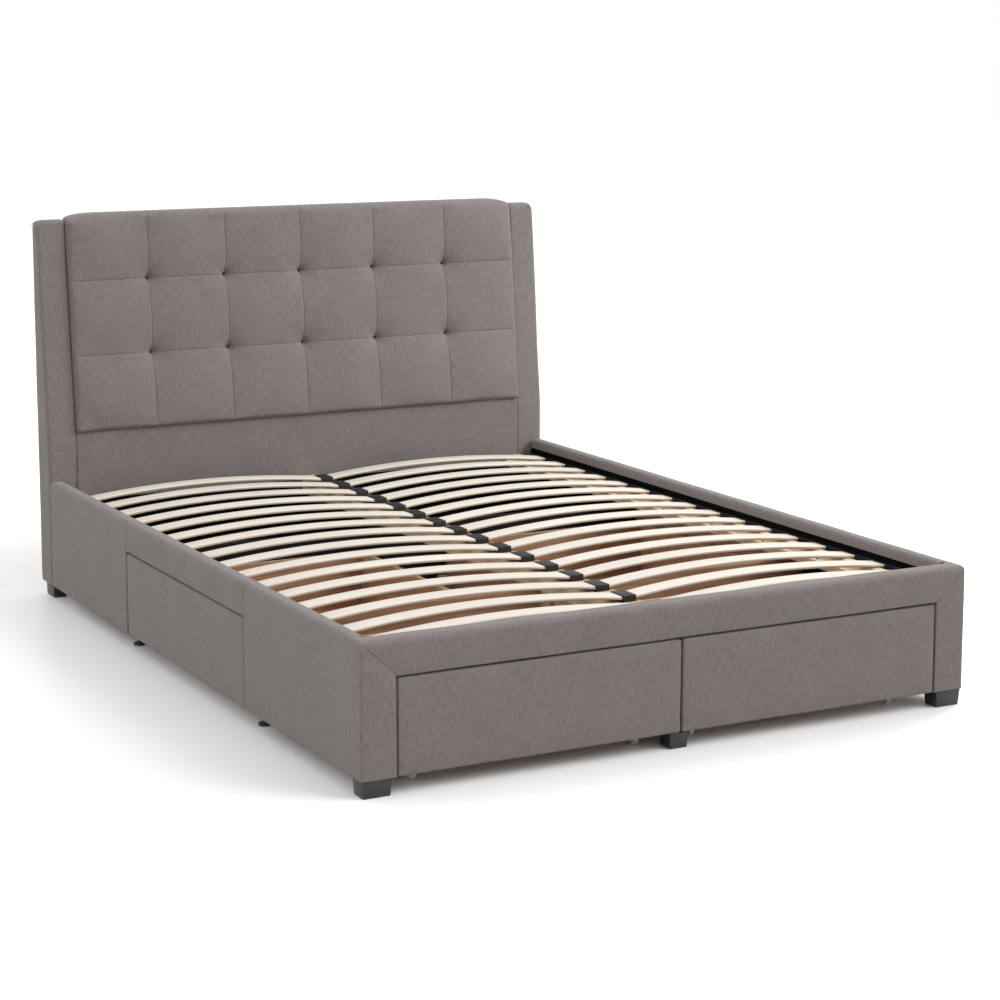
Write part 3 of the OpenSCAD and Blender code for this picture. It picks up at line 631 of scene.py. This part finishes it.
def wrapped(name, across, rows, roll, right, upward):
    """A grid of cloth over a pad, rolled over its edges on to its walls and open at the corners.

    Each row is (length, point, inward, turn, depth up the wall). Returns the piece and, for each
    of its corners, the thread lines that cross there."""
    piece, crossings = thread_grid(name, [line[0] for line in across], [row[0] for row in rows])
    for vertex, (i, j) in zip(piece.data.vertices, crossings):
        _, x, turn_x, back_x = across[i]
        _, point, inward, turn_z, back_z = rows[j]
        aside, along = math.sin(abs(turn_x) * quarter), math.sin(abs(turn_z) * quarter)
        facing = math.cos(turn_x * quarter) * math.cos(turn_z * quarter)
        size = math.sqrt(aside ** 2 + along ** 2 + facing ** 2)
        vertex.co = (point + right * (x + math.copysign(roll * aside / size, turn_x))
                     + upward * math.copysign(roll * along / size, turn_z)
                     + inward * (roll * (1 - facing / size) + max(back_x, back_z)))
    cut = {k for k, (i, j) in enumerate(crossings) if across[i][3] > 0 and rows[j][4] > 0}
    edit(piece)
    pick("VERT", lambda at, item: item.index in cut)
    bpy.ops.mesh.delete(type="VERT")
    done()
    return piece, [spot for k, spot in enumerate(crossings) if k not in cut]


stiff = 15.0                            # of the cover against stretch


def fill_out(piece, held, pressure, most, slack=None, even=0):
    """Presses the foam out against its cover, by at most so much, with some corners held fast.

    even is how many times the foam irons out small creases, and slack gives how freely the
    cover moves at a place, from 0 to 1."""
    group = piece.vertex_groups.new(name="held")
    group.add(held, 1.0, "REPLACE")
    start = np.array([v.co for v in piece.data.vertices])
    cover = piece.modifiers.new("cover", "CLOTH")
    rule = cover.settings
    rule.quality, rule.mass, rule.bending_stiffness = 6, 0.02, 0.6
    rule.tension_stiffness = rule.compression_stiffness = stiff
    rule.shear_stiffness = stiff / 2
    rule.vertex_group_mass = "held"
    rule.use_pressure, rule.uniform_pressure_force = True, pressure
    rule.effector_weights.gravity = 0
    for moment in range(1, 21):
        bpy.context.scene.frame_set(moment)
    shaped = piece.evaluated_get(bpy.context.evaluated_depsgraph_get())
    moved = np.array([v.co for v in shaped.data.vertices]) - start
    piece.modifiers.remove(cover)
    bpy.context.scene.frame_set(1)
    reach = np.linalg.norm(moved, axis=1, keepdims=True)
    moved *= most * np.tanh(reach / most) / np.maximum(reach, 1e-9)
    ends = np.array([edge.vertices for edge in piece.data.edges])
    count = np.bincount(ends.ravel(), minlength=len(start))[:, None]
    for _ in range(even):
        around = np.zeros_like(moved)
        np.add.at(around, ends[:, 0], moved[ends[:, 1]])
        np.add.at(around, ends[:, 1], moved[ends[:, 0]])
        moved = (moved + around / np.maximum(count, 1)) / 2
        moved[held] = 0
    if slack:
        moved *= np.array([[slack(Vector(spot))] for spot in start])
    for vertex, spot in zip(piece.data.vertices, start + moved):
        vertex.co = spot


def close_corners(piece):
    """Sews the four open corners of a wrapped cover shut."""
    edit(piece)
    bpy.ops.mesh.select_all(action="SELECT")
    bpy.ops.mesh.remove_doubles(threshold=0.0004)
    done()


rake = math.atan((wing_high.y - top_thick - face_y) / (wing_high.z - lean_from))
face_up = Vector((0, math.sin(rake), math.cos(rake)))
face_in = Vector((0, math.cos(rake), -math.sin(rake)))
panel_proud = 0.022                     # the panel stands this far out of the wings
panel_w = 2 * panel_high.x
panel_roll, top_roll, back_roll = 0.011, 0.019, 0.012
panel_pace = 0.0095                     # between threads of its grid
tuft_rows = (0.696, 0.909)              # heights of the tufts
tuft_cols = [panel_w * i / 6 for i in range(1, 6)]
tufts = [(x - panel_w / 2, z) for x in tuft_cols for z in tuft_rows]
tuft_in = 0.0145                        # how far a tuft is pulled in at first
seam_in = 0.0052                        # how far a seam is held in between tufts
base_in = 0.0050                        # room for the foam to crown
tuft_r, seam_from = 0.0075, 0.009       # held round a tuft, and clear of the seams' ends


def face_point(z):
    """The panel's face at a height, before it is tufted."""
    return Vector((-panel_high.x, face_y - panel_proud + (z - lean_from) * math.tan(rake), z))


def from_tuft(x, z):
    """How far a place on the panel is from its nearest tuft."""
    return min(math.hypot(x - a, z - b) for a, b in tufts)


across = fold_in(panel_w, panel_roll, 0.016, panel_pace, tuft_cols)
tall = (face_point(panel_high.z) - face_point(panel_foot)).length
rise = [(z - panel_foot) / math.cos(rake) for z in tuft_rows]
rows = []
for length, spot, turn, back in fold_in(tall + top_roll, panel_roll, 0.018, panel_pace, rise):
    if spot < tall - top_roll:
        rows.append((length, face_point(panel_foot) + face_up * spot, face_in, turn, back))
heart = face_point(panel_high.z)        # the middle of the roll along the top
heart += Vector((0, top_roll * (1 - math.sin(rake)) / math.cos(rake), -top_roll))
over = []                               # the cover goes on over the top and down the back
for k in range(7):
    turn = rake + (quarter - rake) * k / 6
    away = Vector((0, -math.cos(turn), math.sin(turn)))
    over.append((heart + away * top_roll, -away))
for y in steps(heart.y, panel_high.y - back_roll, 0.010):
    over.append((Vector((-panel_high.x, y, panel_high.z)), -up))
back_heart = Vector((-panel_high.x, panel_high.y - back_roll, panel_high.z - back_roll))
for k in range(6):
    away = Vector((0, math.sin(quarter * k / 5), math.cos(quarter * k / 5)))
    over.append((back_heart + away * back_roll, -away))
for drop in (0.024, 0.036):
    over.append((Vector((-panel_high.x, panel_high.y, panel_high.z - drop)), Vector((0, -1, 0))))
on_face = len(rows)
for point, inward in over:
    rows.append((rows[-1][0] + (point - rows[-1][1]).length, point, inward, 0.0, 0.0))

tufted_panel, crossings = wrapped("tufted_panel", across, rows, panel_roll, right, face_up)
held, seams = [], {}
for k, (i, j) in enumerate(crossings):
    vertex = tufted_panel.data.vertices[k]
    x, z = across[i][1] - panel_w / 2, rows[j][1].z
    edge_in = min(x + panel_w / 2, panel_w / 2 - x, z - panel_foot)
    flat = not across[i][2] and not rows[j][3] and j < on_face
    upright_seam = not across[i][2] and not rows[j][3] and min(abs(x - a) for a, _ in tufts) < 1e-4
    level_seam = flat and min(abs(z - b) for _, b in tufts) < 2e-4
    near = from_tuft(x, z)
    if (upright_seam or level_seam) and near > seam_from:
        seams[k] = rows[j][2]
    vertex.co += face_in * base_in * (1 if j < on_face else 1 - (j - on_face + 1) / len(over))
    if flat and near < tuft_r:
        vertex.co += face_in * (tuft_in - base_in)
        held.append(k)
    elif flat and (upright_seam or level_seam):
        vertex.co += face_in * (seam_in - base_in + (tuft_in - seam_in) * math.exp(-(near / 0.028) ** 0.95))
        held.append(k)
    elif flat:
        vertex.co += face_in * (tuft_in - base_in) * math.exp(-(near / 0.027) ** 0.9)
    hidden = across[i][3] > 0 or rows[j][4] > 0 or rows[j][1].y > panel_high.y - hair
    if not flat and (hidden or (edge_in < 0.05 and abs(rows[j][3]) + abs(across[i][2]) > 1.2)):
        held.append(k)


def panel_slack(at):
    """The cover is tight at the panel's two lower corners."""
    corner = math.hypot(panel_w / 2 - abs(at.x), max(0, at.z - panel_foot))
    return min(1, max(0, (corner - 0.012) / 0.07))


fill_out(tufted_panel, held, 16.0, 0.020, slack=panel_slack, even=16)
funnel_in, funnel_r = 0.0128, 0.036     # each tuft draws a wide funnel of cloth in after it
pit_in, pit_r = 0.0068, 0.0092          # and a small deep pit round its button
for vertex in tufted_panel.data.vertices:
    near = from_tuft(vertex.co.x, vertex.co.z)
    if vertex.co.y < panel_high.y - 0.03:
        vertex.co += face_in * (funnel_in * math.exp(-(near / funnel_r) ** 1.5)
                                + pit_in * math.exp(-(near / pit_r) ** 2))
edit(tufted_panel)                      # the sewn seams pull in to sharp lines
shape = bmesh.from_edit_mesh(tufted_panel.data)
shape.verts.ensure_lookup_table()
sharp = edge_weights(shape, "crease_edge")
for edge in shape.edges:
    a, b = edge.verts[0].index, edge.verts[1].index
    if a in seams and b in seams and any(m == n for m, n in zip(crossings[a], crossings[b])):
        edge[sharp] = 1.0
seam_pull = 0.0009
for k, inward in seams.items():
    shape.verts[k].co += inward * seam_pull
bmesh.update_edit_mesh(tufted_panel.data)
done()
close_corners(tufted_panel)
shoulder_w, shoulder_h = 0.085, 0.019   # the top falls away to each end
shoulder_deep = 0.20                    # height over which the fall fades out
for vertex in tufted_panel.data.vertices:
    aside = panel_w / 2 - abs(vertex.co.x)
    fall = 1 - math.sqrt(max(0, 1 - max(0, 1 - aside / shoulder_w) ** 2))
    upper = min(1, max(0, (vertex.co.z - (panel_high.z - shoulder_deep)) / shoulder_deep))
    vertex.co.z -= shoulder_h * fall * upper * upper * (3 - 2 * upper)
modify(tufted_panel, "SUBSURF", levels=1, render_levels=1)
settle(tufted_panel, linen, "root", "upholstery", "headboard_panel")

# ---- tuft buttons ----
# Ten small domed buttons, each on a cord through the board that holds a tuft in. They sit deep
# in the folds, in the same cloth painted much darker as painted shade for the deep pits.

# painted shade: the button cloth is darkened to stand for the shadow at the bottom of each tuft pit
painted_shade_button_cloth = cloth("dark_button_cloth", (0.026, 0.0225, 0.021), (0.056, 0.049, 0.046), 0.05, 0.10)
button_r, button_deep = 0.0078, 0.0370
take()
bpy.ops.mesh.primitive_cylinder_add(vertices=32, radius=button_r, depth=0.0036, location=(0, 0, 0.0018))
pattern = bpy.context.object
bpy.ops.object.transform_apply(location=True)
edit(pattern)
pick("FACE", lambda at, item: item.normal.z > 0.9)
for inset, rise in ((0.0012, 0.0011), (0.0018, 0.0008), (0.0022, 0.0003)):
    bpy.ops.mesh.inset(thickness=inset)
    bpy.ops.transform.translate(value=(0, 0, rise))
pick("VERT", lambda at, item: at.z < 0.0001)
bpy.ops.transform.resize(value=(0.8, 0.8, 1))
done()
ease(pattern, 0.0009, lambda at, item: 1.0 if at.z > hair and at.xy.length > 0.9 * button_r else 0.0)
map_threads(pattern)
stance = Vector((0, 0, 1)).rotation_difference(-face_in)
for k, (x, z) in enumerate(tufts):
    button = copied(pattern, f"tuft_button_{k + 1}")
    seat = face_point(z) + right * (x + panel_w / 2) + face_in * button_deep
    for vertex in button.data.vertices:
        vertex.co = seat + stance @ vertex.co
    settle(button, painted_shade_button_cloth, "root", "upholstery", "headboard_buttons")
bpy.data.objects.remove(pattern)

# ---- drawer fronts ----
# Four flat boards, each in thin foam and the same cloth, pulled tight round the edges.
# The cloth crowns a little between its edges and is stapled on the back.

front_roll, front_wall, front_pace = 0.0055, 0.0240, 0.016
cloth_t = 0.0012


def upholster(piece, body, node):
    """Gives a cover its thickness and weave, and hands it over."""
    modify(piece, "SOLIDIFY", thickness=cloth_t, offset=-1)
    settle(piece, linen, body, "upholstery", node)


drawers = {"foot_left": (0, -1, 0), "foot_right": (0, -1, 0),
           "side_left": (-1, 0, 0), "side_right": (1, 0, 0)}
for body, facing in drawers.items():
    low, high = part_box(body + "_cover")
    facing = Vector(facing)
    along = up.cross(facing)            # the face starts at corner and runs this way
    corner = Vector((low.x if facing.x <= 0 else high.x, low.y if facing.x >= 0 else high.y, low.z))
    across = fold_in(abs((high - low).dot(along)), front_roll, front_wall, front_pace)
    rows = [(length, corner + up * spot, -facing, turn, back)
            for length, spot, turn, back in fold_in(high.z - low.z, front_roll, front_wall, front_pace)]
    front, crossings = wrapped(body + "_front_cloth", across, rows, front_roll, along, up)
    held = [k for k, (i, j) in enumerate(crossings) if across[i][2] or rows[j][3]]
    fill_out(front, held, 3.0, 0.0022)
    close_corners(front)
    modify(front, "SUBSURF", levels=1, render_levels=1)
    soften(front, 0.0007, 0.16, 3.7 * len(body) + 11 * facing.x)
    upholster(front, body + "_drawer", body + "_cover")

# ---- footboard ----
# A padded board with one long opening for the two foot drawers. The cloth is seamed
# across each top corner of the opening and is rolled softly over the top.

foot_low, foot_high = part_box("footboard_cover")
opening_x, opening_z = 0.715, 0.262
skirt_x, skirt_z = 0.7655, 0.319        # the cloth comes this far down inside
foam_pace = 0.055                       # between cuts that let the foam undulate


def dress(piece, share, seed):
    """Rounds a padded board's edges, lets its foam undulate and lays the weave on."""
    ease(piece, 0.0145, share, 5)
    soften(piece, 0.0009, 0.15, seed)
    map_threads(piece)


foot_cloth = block("footboard_cloth", foot_low, foot_high)
edit(foot_cloth)
score(right, *[s * x for s in (-1, 1) for x in (opening_x, skirt_x)])
score(up, opening_z, skirt_z)
score(right, *steps(-opening_x, opening_x, foam_pace))
score(up, *steps(foot_low.z, opening_z, foam_pace))
cut_away(lambda at, item: abs(at.x) < opening_x and at.z < opening_z - hair and item.normal.x == 0
         or item.normal.y > 0.9 and not (at.z > skirt_z and abs(at.x) < skirt_x))
pick("EDGE", lambda at, item: abs(at.y - foot_low.y) < 1e-4 and item.is_boundary
     and abs(at.x) < opening_x + 1e-4 and at.z < opening_z + 1e-4 and at.z > foot_low.z + 1e-4)
draw_out(0, 0.0098, 0)
done()


def foot_edge(at, item):
    if abs(at.y - foot_low.y) < 1e-4 and abs(at.x) < opening_x + 1e-4 and at.z < opening_z + 1e-4:
        return 0.27
    if at.z > foot_high.z - hair:
        return 1.0 if abs(at.x) < foot_high.x - hair else 0.8
    if at.z < foot_low.z + hair:
        return 0.2
    return 0.5 if at.y < foot_low.y + hair else 0.16


dress(foot_cloth, foot_edge, 5.1)
for s in (-1, 1):
    mitre = (foot_high.z - opening_z, 0, -s * (foot_high.x - opening_x))
    sew(foot_cloth, (s * opening_x, 0, opening_z), mitre,
        lambda at, item, s=s: s * at.x > opening_x - 0.002 and at.z > opening_z - 0.002
        and item.normal.y < -0.2)
upholster(foot_cloth, "root", "footboard_cover")

# ---- side rails ----
# Padded boards with an opening for a drawer at the middle. Upright seams part each into
# three lengths of cloth, which are rolled over the top and finish inside above the slats.

opening_y = (-0.450, 0.365)
for s, side in ((-1, "left"), (1, "right")):
    rail_low, rail_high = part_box(side + "_rail_cover")
    outer = rail_low.x if s < 0 else rail_high.x
    rail_cloth = block(side + "_rail_cloth", rail_low, rail_high)
    edit(rail_cloth)
    score(ahead, *opening_y)
    score(up, opening_z, skirt_z)
    for a, b in ((rail_low.y, opening_y[0]), opening_y, (opening_y[1], rail_high.y)):
        score(ahead, *steps(a, b, foam_pace))
    score(up, *steps(rail_low.z, opening_z, foam_pace))

    def in_opening(at):
        return opening_y[0] < at.y < opening_y[1] and at.z < opening_z - hair
    cut_away(lambda at, item: item.normal.y < -0.9 or in_opening(at)
             or item.normal.x * s < -0.9 and at.z < skirt_z)
    pick("EDGE", lambda at, item: abs(at.x - outer) < 1e-4 and item.is_boundary and rail_low.z + 1e-4 < at.z
         and opening_y[0] - 1e-4 < at.y < opening_y[1] + 1e-4 and at.z < opening_z + 1e-4)
    draw_out(-s * 0.0095, 0, 0)
    done()

    def rail_edge(at, item):
        if at.y > rail_high.y - hair:
            return 0.85 if at.z > skirt_z else 0.4
        if at.z > rail_high.z - hair:
            return 1.0 if abs(at.x - outer) < hair else 0.8
        if at.z < rail_low.z + hair:
            return 0.2
        return 0.27
    dress(rail_cloth, rail_edge, 8.3 + s)
    for y in opening_y:
        sew(rail_cloth, (0, y, 0), ahead, lambda at, item, y=y: abs(at.y - y) < 0.06
            and at.z > opening_z + 0.002, 0.0018)
    upholster(rail_cloth, "root", side + "_rail_cover")

# ---- black linings ----
# Thin black cloth lines the rails, the footboard and the headboard under the slats. It also
# closes the back of the headboard and the underside of the space at the head. It is cut
# flat, pulled tight and stapled along its edges.

black_cloth = cloth("black_lining", (0.0028, 0.0028, 0.0030), (0.0090, 0.0088, 0.0088), 0.0, 0.0,
                    threads=1300.0, depth=0.00012)


def lining(name, corner, along, rise, width, tall, gap=(0, 0, 0), stands_for="inner_linings"):
    """Flat cloth from one corner, with a gap (start, end, height) cut in from its first edge."""
    columns = sorted({0, width, *gap[:2], *steps(0, width, 0.05)})
    rows = sorted({0, tall, gap[2], *steps(0, tall, 0.05)})
    piece, crossings = thread_grid(name, columns, rows)
    for vertex, (i, j) in zip(piece.data.vertices, crossings):
        vertex.co = corner + along * columns[i] + rise * rows[j]
    if gap[2]:
        edit(piece)
        cut_away(lambda at, item: gap[0] < (at - corner).dot(along) < gap[1]
                 and (at - corner).dot(rise) < gap[2])
        done()
    soften(piece, 0.0004, 0.09, width)
    modify(piece, "SOLIDIFY", thickness=0.001, offset=-1)
    settle(piece, black_cloth, "root", "black_cloth")
    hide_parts(stands_for)


line_low, line_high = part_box("inner_linings")
tall = line_high.z - line_low.z
rail_line = rail_high.y - rail_low.y - 0.0004
opening = (opening_y[0] - rail_low.y, opening_y[1] - rail_low.y, opening_z - line_low.z)
line_in = line_high.x - 0.0018          # linings lie on the boards' inner faces
lining("left_lining", Vector((-line_in, rail_low.y + rail_line, line_low.z)), -ahead, up, rail_line, tall,
       (rail_line - opening[1], rail_line - opening[0], opening[2]))
lining("right_lining", Vector((line_in, rail_low.y, line_low.z)), ahead, up, rail_line, tall,
       opening)
foot_line = line_low.y + 0.0018
lining("foot_lining", Vector((line_in - 0.001, foot_line, opening_z)), -right, up, 2 * line_in - 0.002,
       tall - opening[2])
for start, side in ((-opening_x, "left"), (line_in - 0.001, "right")):
    lining("foot_lining_" + side, Vector((start, foot_line, line_low.z)), -right, up,
           line_in - 0.001 - opening_x, opening[2] - 0.0004)
cover_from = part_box("centre_posts")[1].y + 0.002
lining("dust_cover", Vector((-line_in + 0.002, cover_from, line_low.z + 0.0014)), right, ahead,
       2 * line_in - 0.004, line_high.y - cover_from)
lining("head_lining", Vector((-line_in + 0.002, line_high.y - 0.0012, line_low.z + 0.004)), right, up,
       2 * line_in - 0.004, 0.240)
low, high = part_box("headboard_back_cloth")
lining("back_lining", Vector((high.x, high.y + 0.0002, low.z)), -right, up, high.x - low.x, high.z - low.z,
       stands_for="headboard_back_cloth")

# ---- legs ----
# Short black lacquered blocks under the foot corners and the middle of the footboard,
# tapered towards the floor.

tapered_legs("corner_legs", "footboard_legs", (-1, 1), 0.071, 0.051, 0.006)
low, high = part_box("footboard_centre_leg")
tapered_legs("centre_leg", "footboard_centre_leg", (0,), high.x - low.x, high.x - low.x, 0.003)

# ---- sprung slats ----
# Sixteen pairs of bowed birch slats, each pressed from thin veneers, with a sanded pale
# face, finely striped edges and eased corners.


ply_t = 0.0016                          # two veneers of a slat


def birch(name, dark, light, plies):
    """Pale birch. Its grain runs along the map's U, and plies shows the veneers in an edge."""
    finish, tree, shader = new_finish(name, Specular_IOR_Level=0.35)
    where = add(tree, "TexCoord")
    look = place(tree, grain, Vector=where.outputs["UV"], Fibre=330.0, Bands=30.0)
    slow = clouds(tree, stretched(tree, where.outputs["UV"], (0.9, 0.3, 1)), 1.0, 1.0)
    tone = calc(tree, "MULTIPLY_ADD", look["Tone"], 0.5, calc(tree, "MULTIPLY_ADD", slow, 0.9, -0.2))
    mixed = tint(tree, shader, tone, dark, light)
    if plies:
        depth = add(tree, "SeparateXYZ", {0: where.outputs["UV"]}).outputs[1]
        layer = calc(tree, "FRACT", calc(tree, "MULTIPLY", depth, 1 / ply_t))
        layer = spread(tree, layer, From_Min=0.42, From_Max=0.58, To_Min=1.0, To_Max=0.78)
        shade = add(tree, "Mix", {"Factor": 1.0}, data_type="RGBA", blend_type="MULTIPLY")
        tree.links.new(mixed.outputs[2], shade.inputs[6])
        tree.links.new(layer, shade.inputs[7])
        tree.links.new(shade.outputs[2], shader.inputs["Base Color"])
    vary(tree, shader, look["Height"], 0.48, 0.62)
    relief(tree, shader, look["Height"], 0.00012)
    return finish


birch_face = birch("birch_face", (0.52, 0.47, 0.405), (0.72, 0.67, 0.60), False)
birch_edge = birch("birch_edge", (0.46, 0.39, 0.31), (0.62, 0.55, 0.46), True)

slat_low, slat_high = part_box("slats_left")
slat_w, slat_t, slat_bow, slat_rows = 0.054, 0.008, 0.023, 16
inner_tip, outer_tip = 0.005, 0.7365    # where the undersides end
chord = outer_tip - inner_tip
under_r = chord ** 2 / (8 * slat_bow) + slat_bow / 2
middle_r = under_r + slat_t / 2
slat_l = 2 * math.asin(chord / 2 / under_r) * middle_r
mid_x = -(inner_tip + outer_tip) / 2
back_map = 0.3                          # keeps the undersides' grain apart on the map
row_y = [slat_low.y + slat_w / 2 + (slat_high.y - slat_low.y - slat_w) * i / (slat_rows - 1)
         for i in range(slat_rows)]

pattern = block("slat", (-slat_l / 2, -slat_w / 2, -slat_t / 2), (slat_l / 2, slat_w / 2, slat_t / 2))
ease(pattern, 0.0034, lambda at, item: 1.0 if abs(at.x) < slat_l / 2 - hair else 0.4, 4)
edit(pattern)
score(right, *steps(-slat_l / 2 + 0.002, slat_l / 2 - 0.002, 0.022))
done()
for finish in (birch_face, birch_edge):
    pattern.data.materials.append(finish)
slat_map = pattern.data.uv_layers.active or pattern.data.uv_layers.new(name="UVMap")
for face in pattern.data.polygons:
    edge_face = abs(face.normal.z) < 0.5
    face.material_index = 1 if edge_face else 0
    for loop in face.loop_indices:
        at = pattern.data.vertices[pattern.data.loops[loop].vertex_index].co
        slat_map.data[loop].uv = (at.y if abs(face.normal.x) > 0.7 else at.x, at.z + slat_t / 2 if edge_face
                                  else at.y + (back_map if face.normal.z < 0 else 0))
for vertex in pattern.data.vertices:
    turn, reach = vertex.co.x / middle_r, middle_r + vertex.co.z
    vertex.co.x = reach * math.sin(turn)
    vertex.co.z = slat_low.z + slat_bow - under_r + reach * math.cos(turn)
smooth(pattern)
chance = random.Random(7)
for s, side in ((-1, "left"), (1, "right")):
    for i, y in enumerate(row_y):
        slat = copied(pattern, f"{side}_slat_{i + 1}")
        shift, turned = chance.uniform(0, 40), chance.choice((-1, 1))
        for vertex in slat.data.vertices:
            vertex.co.x, vertex.co.y = turned * vertex.co.x - s * mid_x, turned * vertex.co.y + y
        for loop in slat.data.uv_layers.active.data:
            loop.uv.x += shift
        hand_over(slat, "root", "birch_ply", "slats_" + side)
bpy.data.objects.remove(pattern)

# ---- slat caps ----
# Double sleeves of moulded charcoal plastic over the centre beam hold the inner ends of
# each pair of slats. Each has a lug that plugs into the beam.

cap_plastic = coated("charcoal_plastic", (0.009, 0.009, 0.0095), (0.020, 0.020, 0.021), (0.40, 0.55),
                     scale=700.0, depth=0.00008, Specular_IOR_Level=0.25)
cap_low, cap_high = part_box("centre_caps")
cap_half, web_half = 0.0293, 0.0045     # of a cap's width and of the web in its middle
sleeve_t, sleeve_deep = 0.0019, 0.0135
lug_r, lug_l = 0.005, 0.0145
pattern = block("cap", (cap_low.x, -cap_half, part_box("centre_beam")[1].z), (cap_high.x, cap_half, cap_high.z))
edit(pattern)
score(right, -web_half, web_half)
for s in (-1, 1):
    pick("FACE", lambda at, item, s=s: s * at.x > cap_high.x - 0.0005)
    bpy.ops.mesh.inset(thickness=sleeve_t)
    pick("FACE", lambda at, item, s=s: s * at.x > cap_high.x - 0.0005 and item.calc_area() > 0.0004)
    draw_out(-s * sleeve_deep, 0, 0)
done()


def cap_edge(at, item):
    if abs(at.z - cap_high.z) < 1e-4:
        return 1.0
    return 0.6 if abs(abs(at.y) - cap_half) < 1e-4 else 0.12


ease(pattern, 0.0030, cap_edge)
take()
bpy.ops.mesh.primitive_cylinder_add(vertices=24, radius=lug_r, depth=lug_l,
                                    location=(0, 0, cap_low.z + lug_l / 2))
bpy.ops.object.transform_apply(location=True)
lug = bpy.context.object
ease(lug, 0.001)
join("cap", [pattern, lug])
for i, y in enumerate(row_y):
    cap = copied(pattern, f"slat_cap_{i + 1}")
    for vertex in cap.data.vertices:
        vertex.co.y += y
    settle(cap, cap_plastic, "root", "cap_plastic", "centre_caps")
bpy.data.objects.remove(pattern)

# ---- drawer trays ----
# Plain open trays of walnut-brown faced board with pale cut edges, butted and screwed
# behind each front and open above.

drawer_board = wood("brown_board", (0.30, 0.155, 0.085), (0.56, 0.34, 0.215), rough=(0.42, 0.55),
                    fibre=210.0, bands=16.0)
cut_edge = wood("cut_edge", (0.42, 0.28, 0.17), (0.60, 0.43, 0.28), rough=(0.6, 0.75))
wall_t = 0.015
for body in drawers:
    across, along = (0, 1) if body.startswith("foot") else (1, 0)
    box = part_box(body + "_walls")
    parts = []
    for thin, length, inset in ((across, along, 0), (along, across, wall_t)):
        for far in (False, True):       # two full boards, then two between them
            low, high = (corner.copy() for corner in box)
            low[length], high[length] = low[length] + inset, high[length] - inset
            if far:
                low[thin] = high[thin] - wall_t
            else:
                high[thin] = low[thin] + wall_t
            parts.append(block("board", low, high))
            ease(parts[-1], 0.0008, segments=2)
    tray = join(body + "_tray", parts)
    settle(tray, drawer_board, body + "_drawer", "drawer_board", body + "_walls")
    tray.data.materials.append(cut_edge)
    for face in tray.data.polygons:
        face.material_index = 1 if abs(face.normal.z) > 0.6 else 0
    coat(drawer_board, body + "_base", body + "_front")

# ---- frame, supports and fittings ----
# Softwood ledges, beam, posts and dividers, black steel angles and brackets, and the
# plastic feet and castors that carry it all.

coat(softwood, "footboard_core")
coat(drawer_board, "near_cross_divider")
coat(softwood_along, "left_rail_core", "right_rail_core", "slat_ledges", "centre_beam", "foot_divider",
     "drawer_guides")
coat(softwood_up, "centre_posts")
black_steel = coated("black_steel", (0.010, 0.010, 0.011), (0.030, 0.030, 0.032), (0.38, 0.55), scale=1500.0)
coat(black_steel, "slat_angles", "corner_brackets", "corner_bolts", "beam_hangers", "ledge_screws")
black_board = coated("black_faced_board", (0.006, 0.006, 0.0062), (0.014, 0.014, 0.0145), (0.5, 0.65),
                     scale=600.0, Specular_IOR_Level=0.2)
coat(black_board, "far_cross_divider")
black_plastic = coated("black_plastic", (0.014, 0.014, 0.015), (0.032, 0.032, 0.034), (0.42, 0.55))
coat(black_plastic, "levelling_feet", "post_feet")
pale_plastic = coated("pale_plastic", (0.50, 0.49, 0.47), (0.66, 0.65, 0.62), (0.25, 0.4))
for body in drawers:
    coat(pale_plastic, body + "_castors", body + "_front_wheels", body + "_rear_wheels")

# ---- measure ----
# The box round the finished pieces is measured.

low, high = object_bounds()
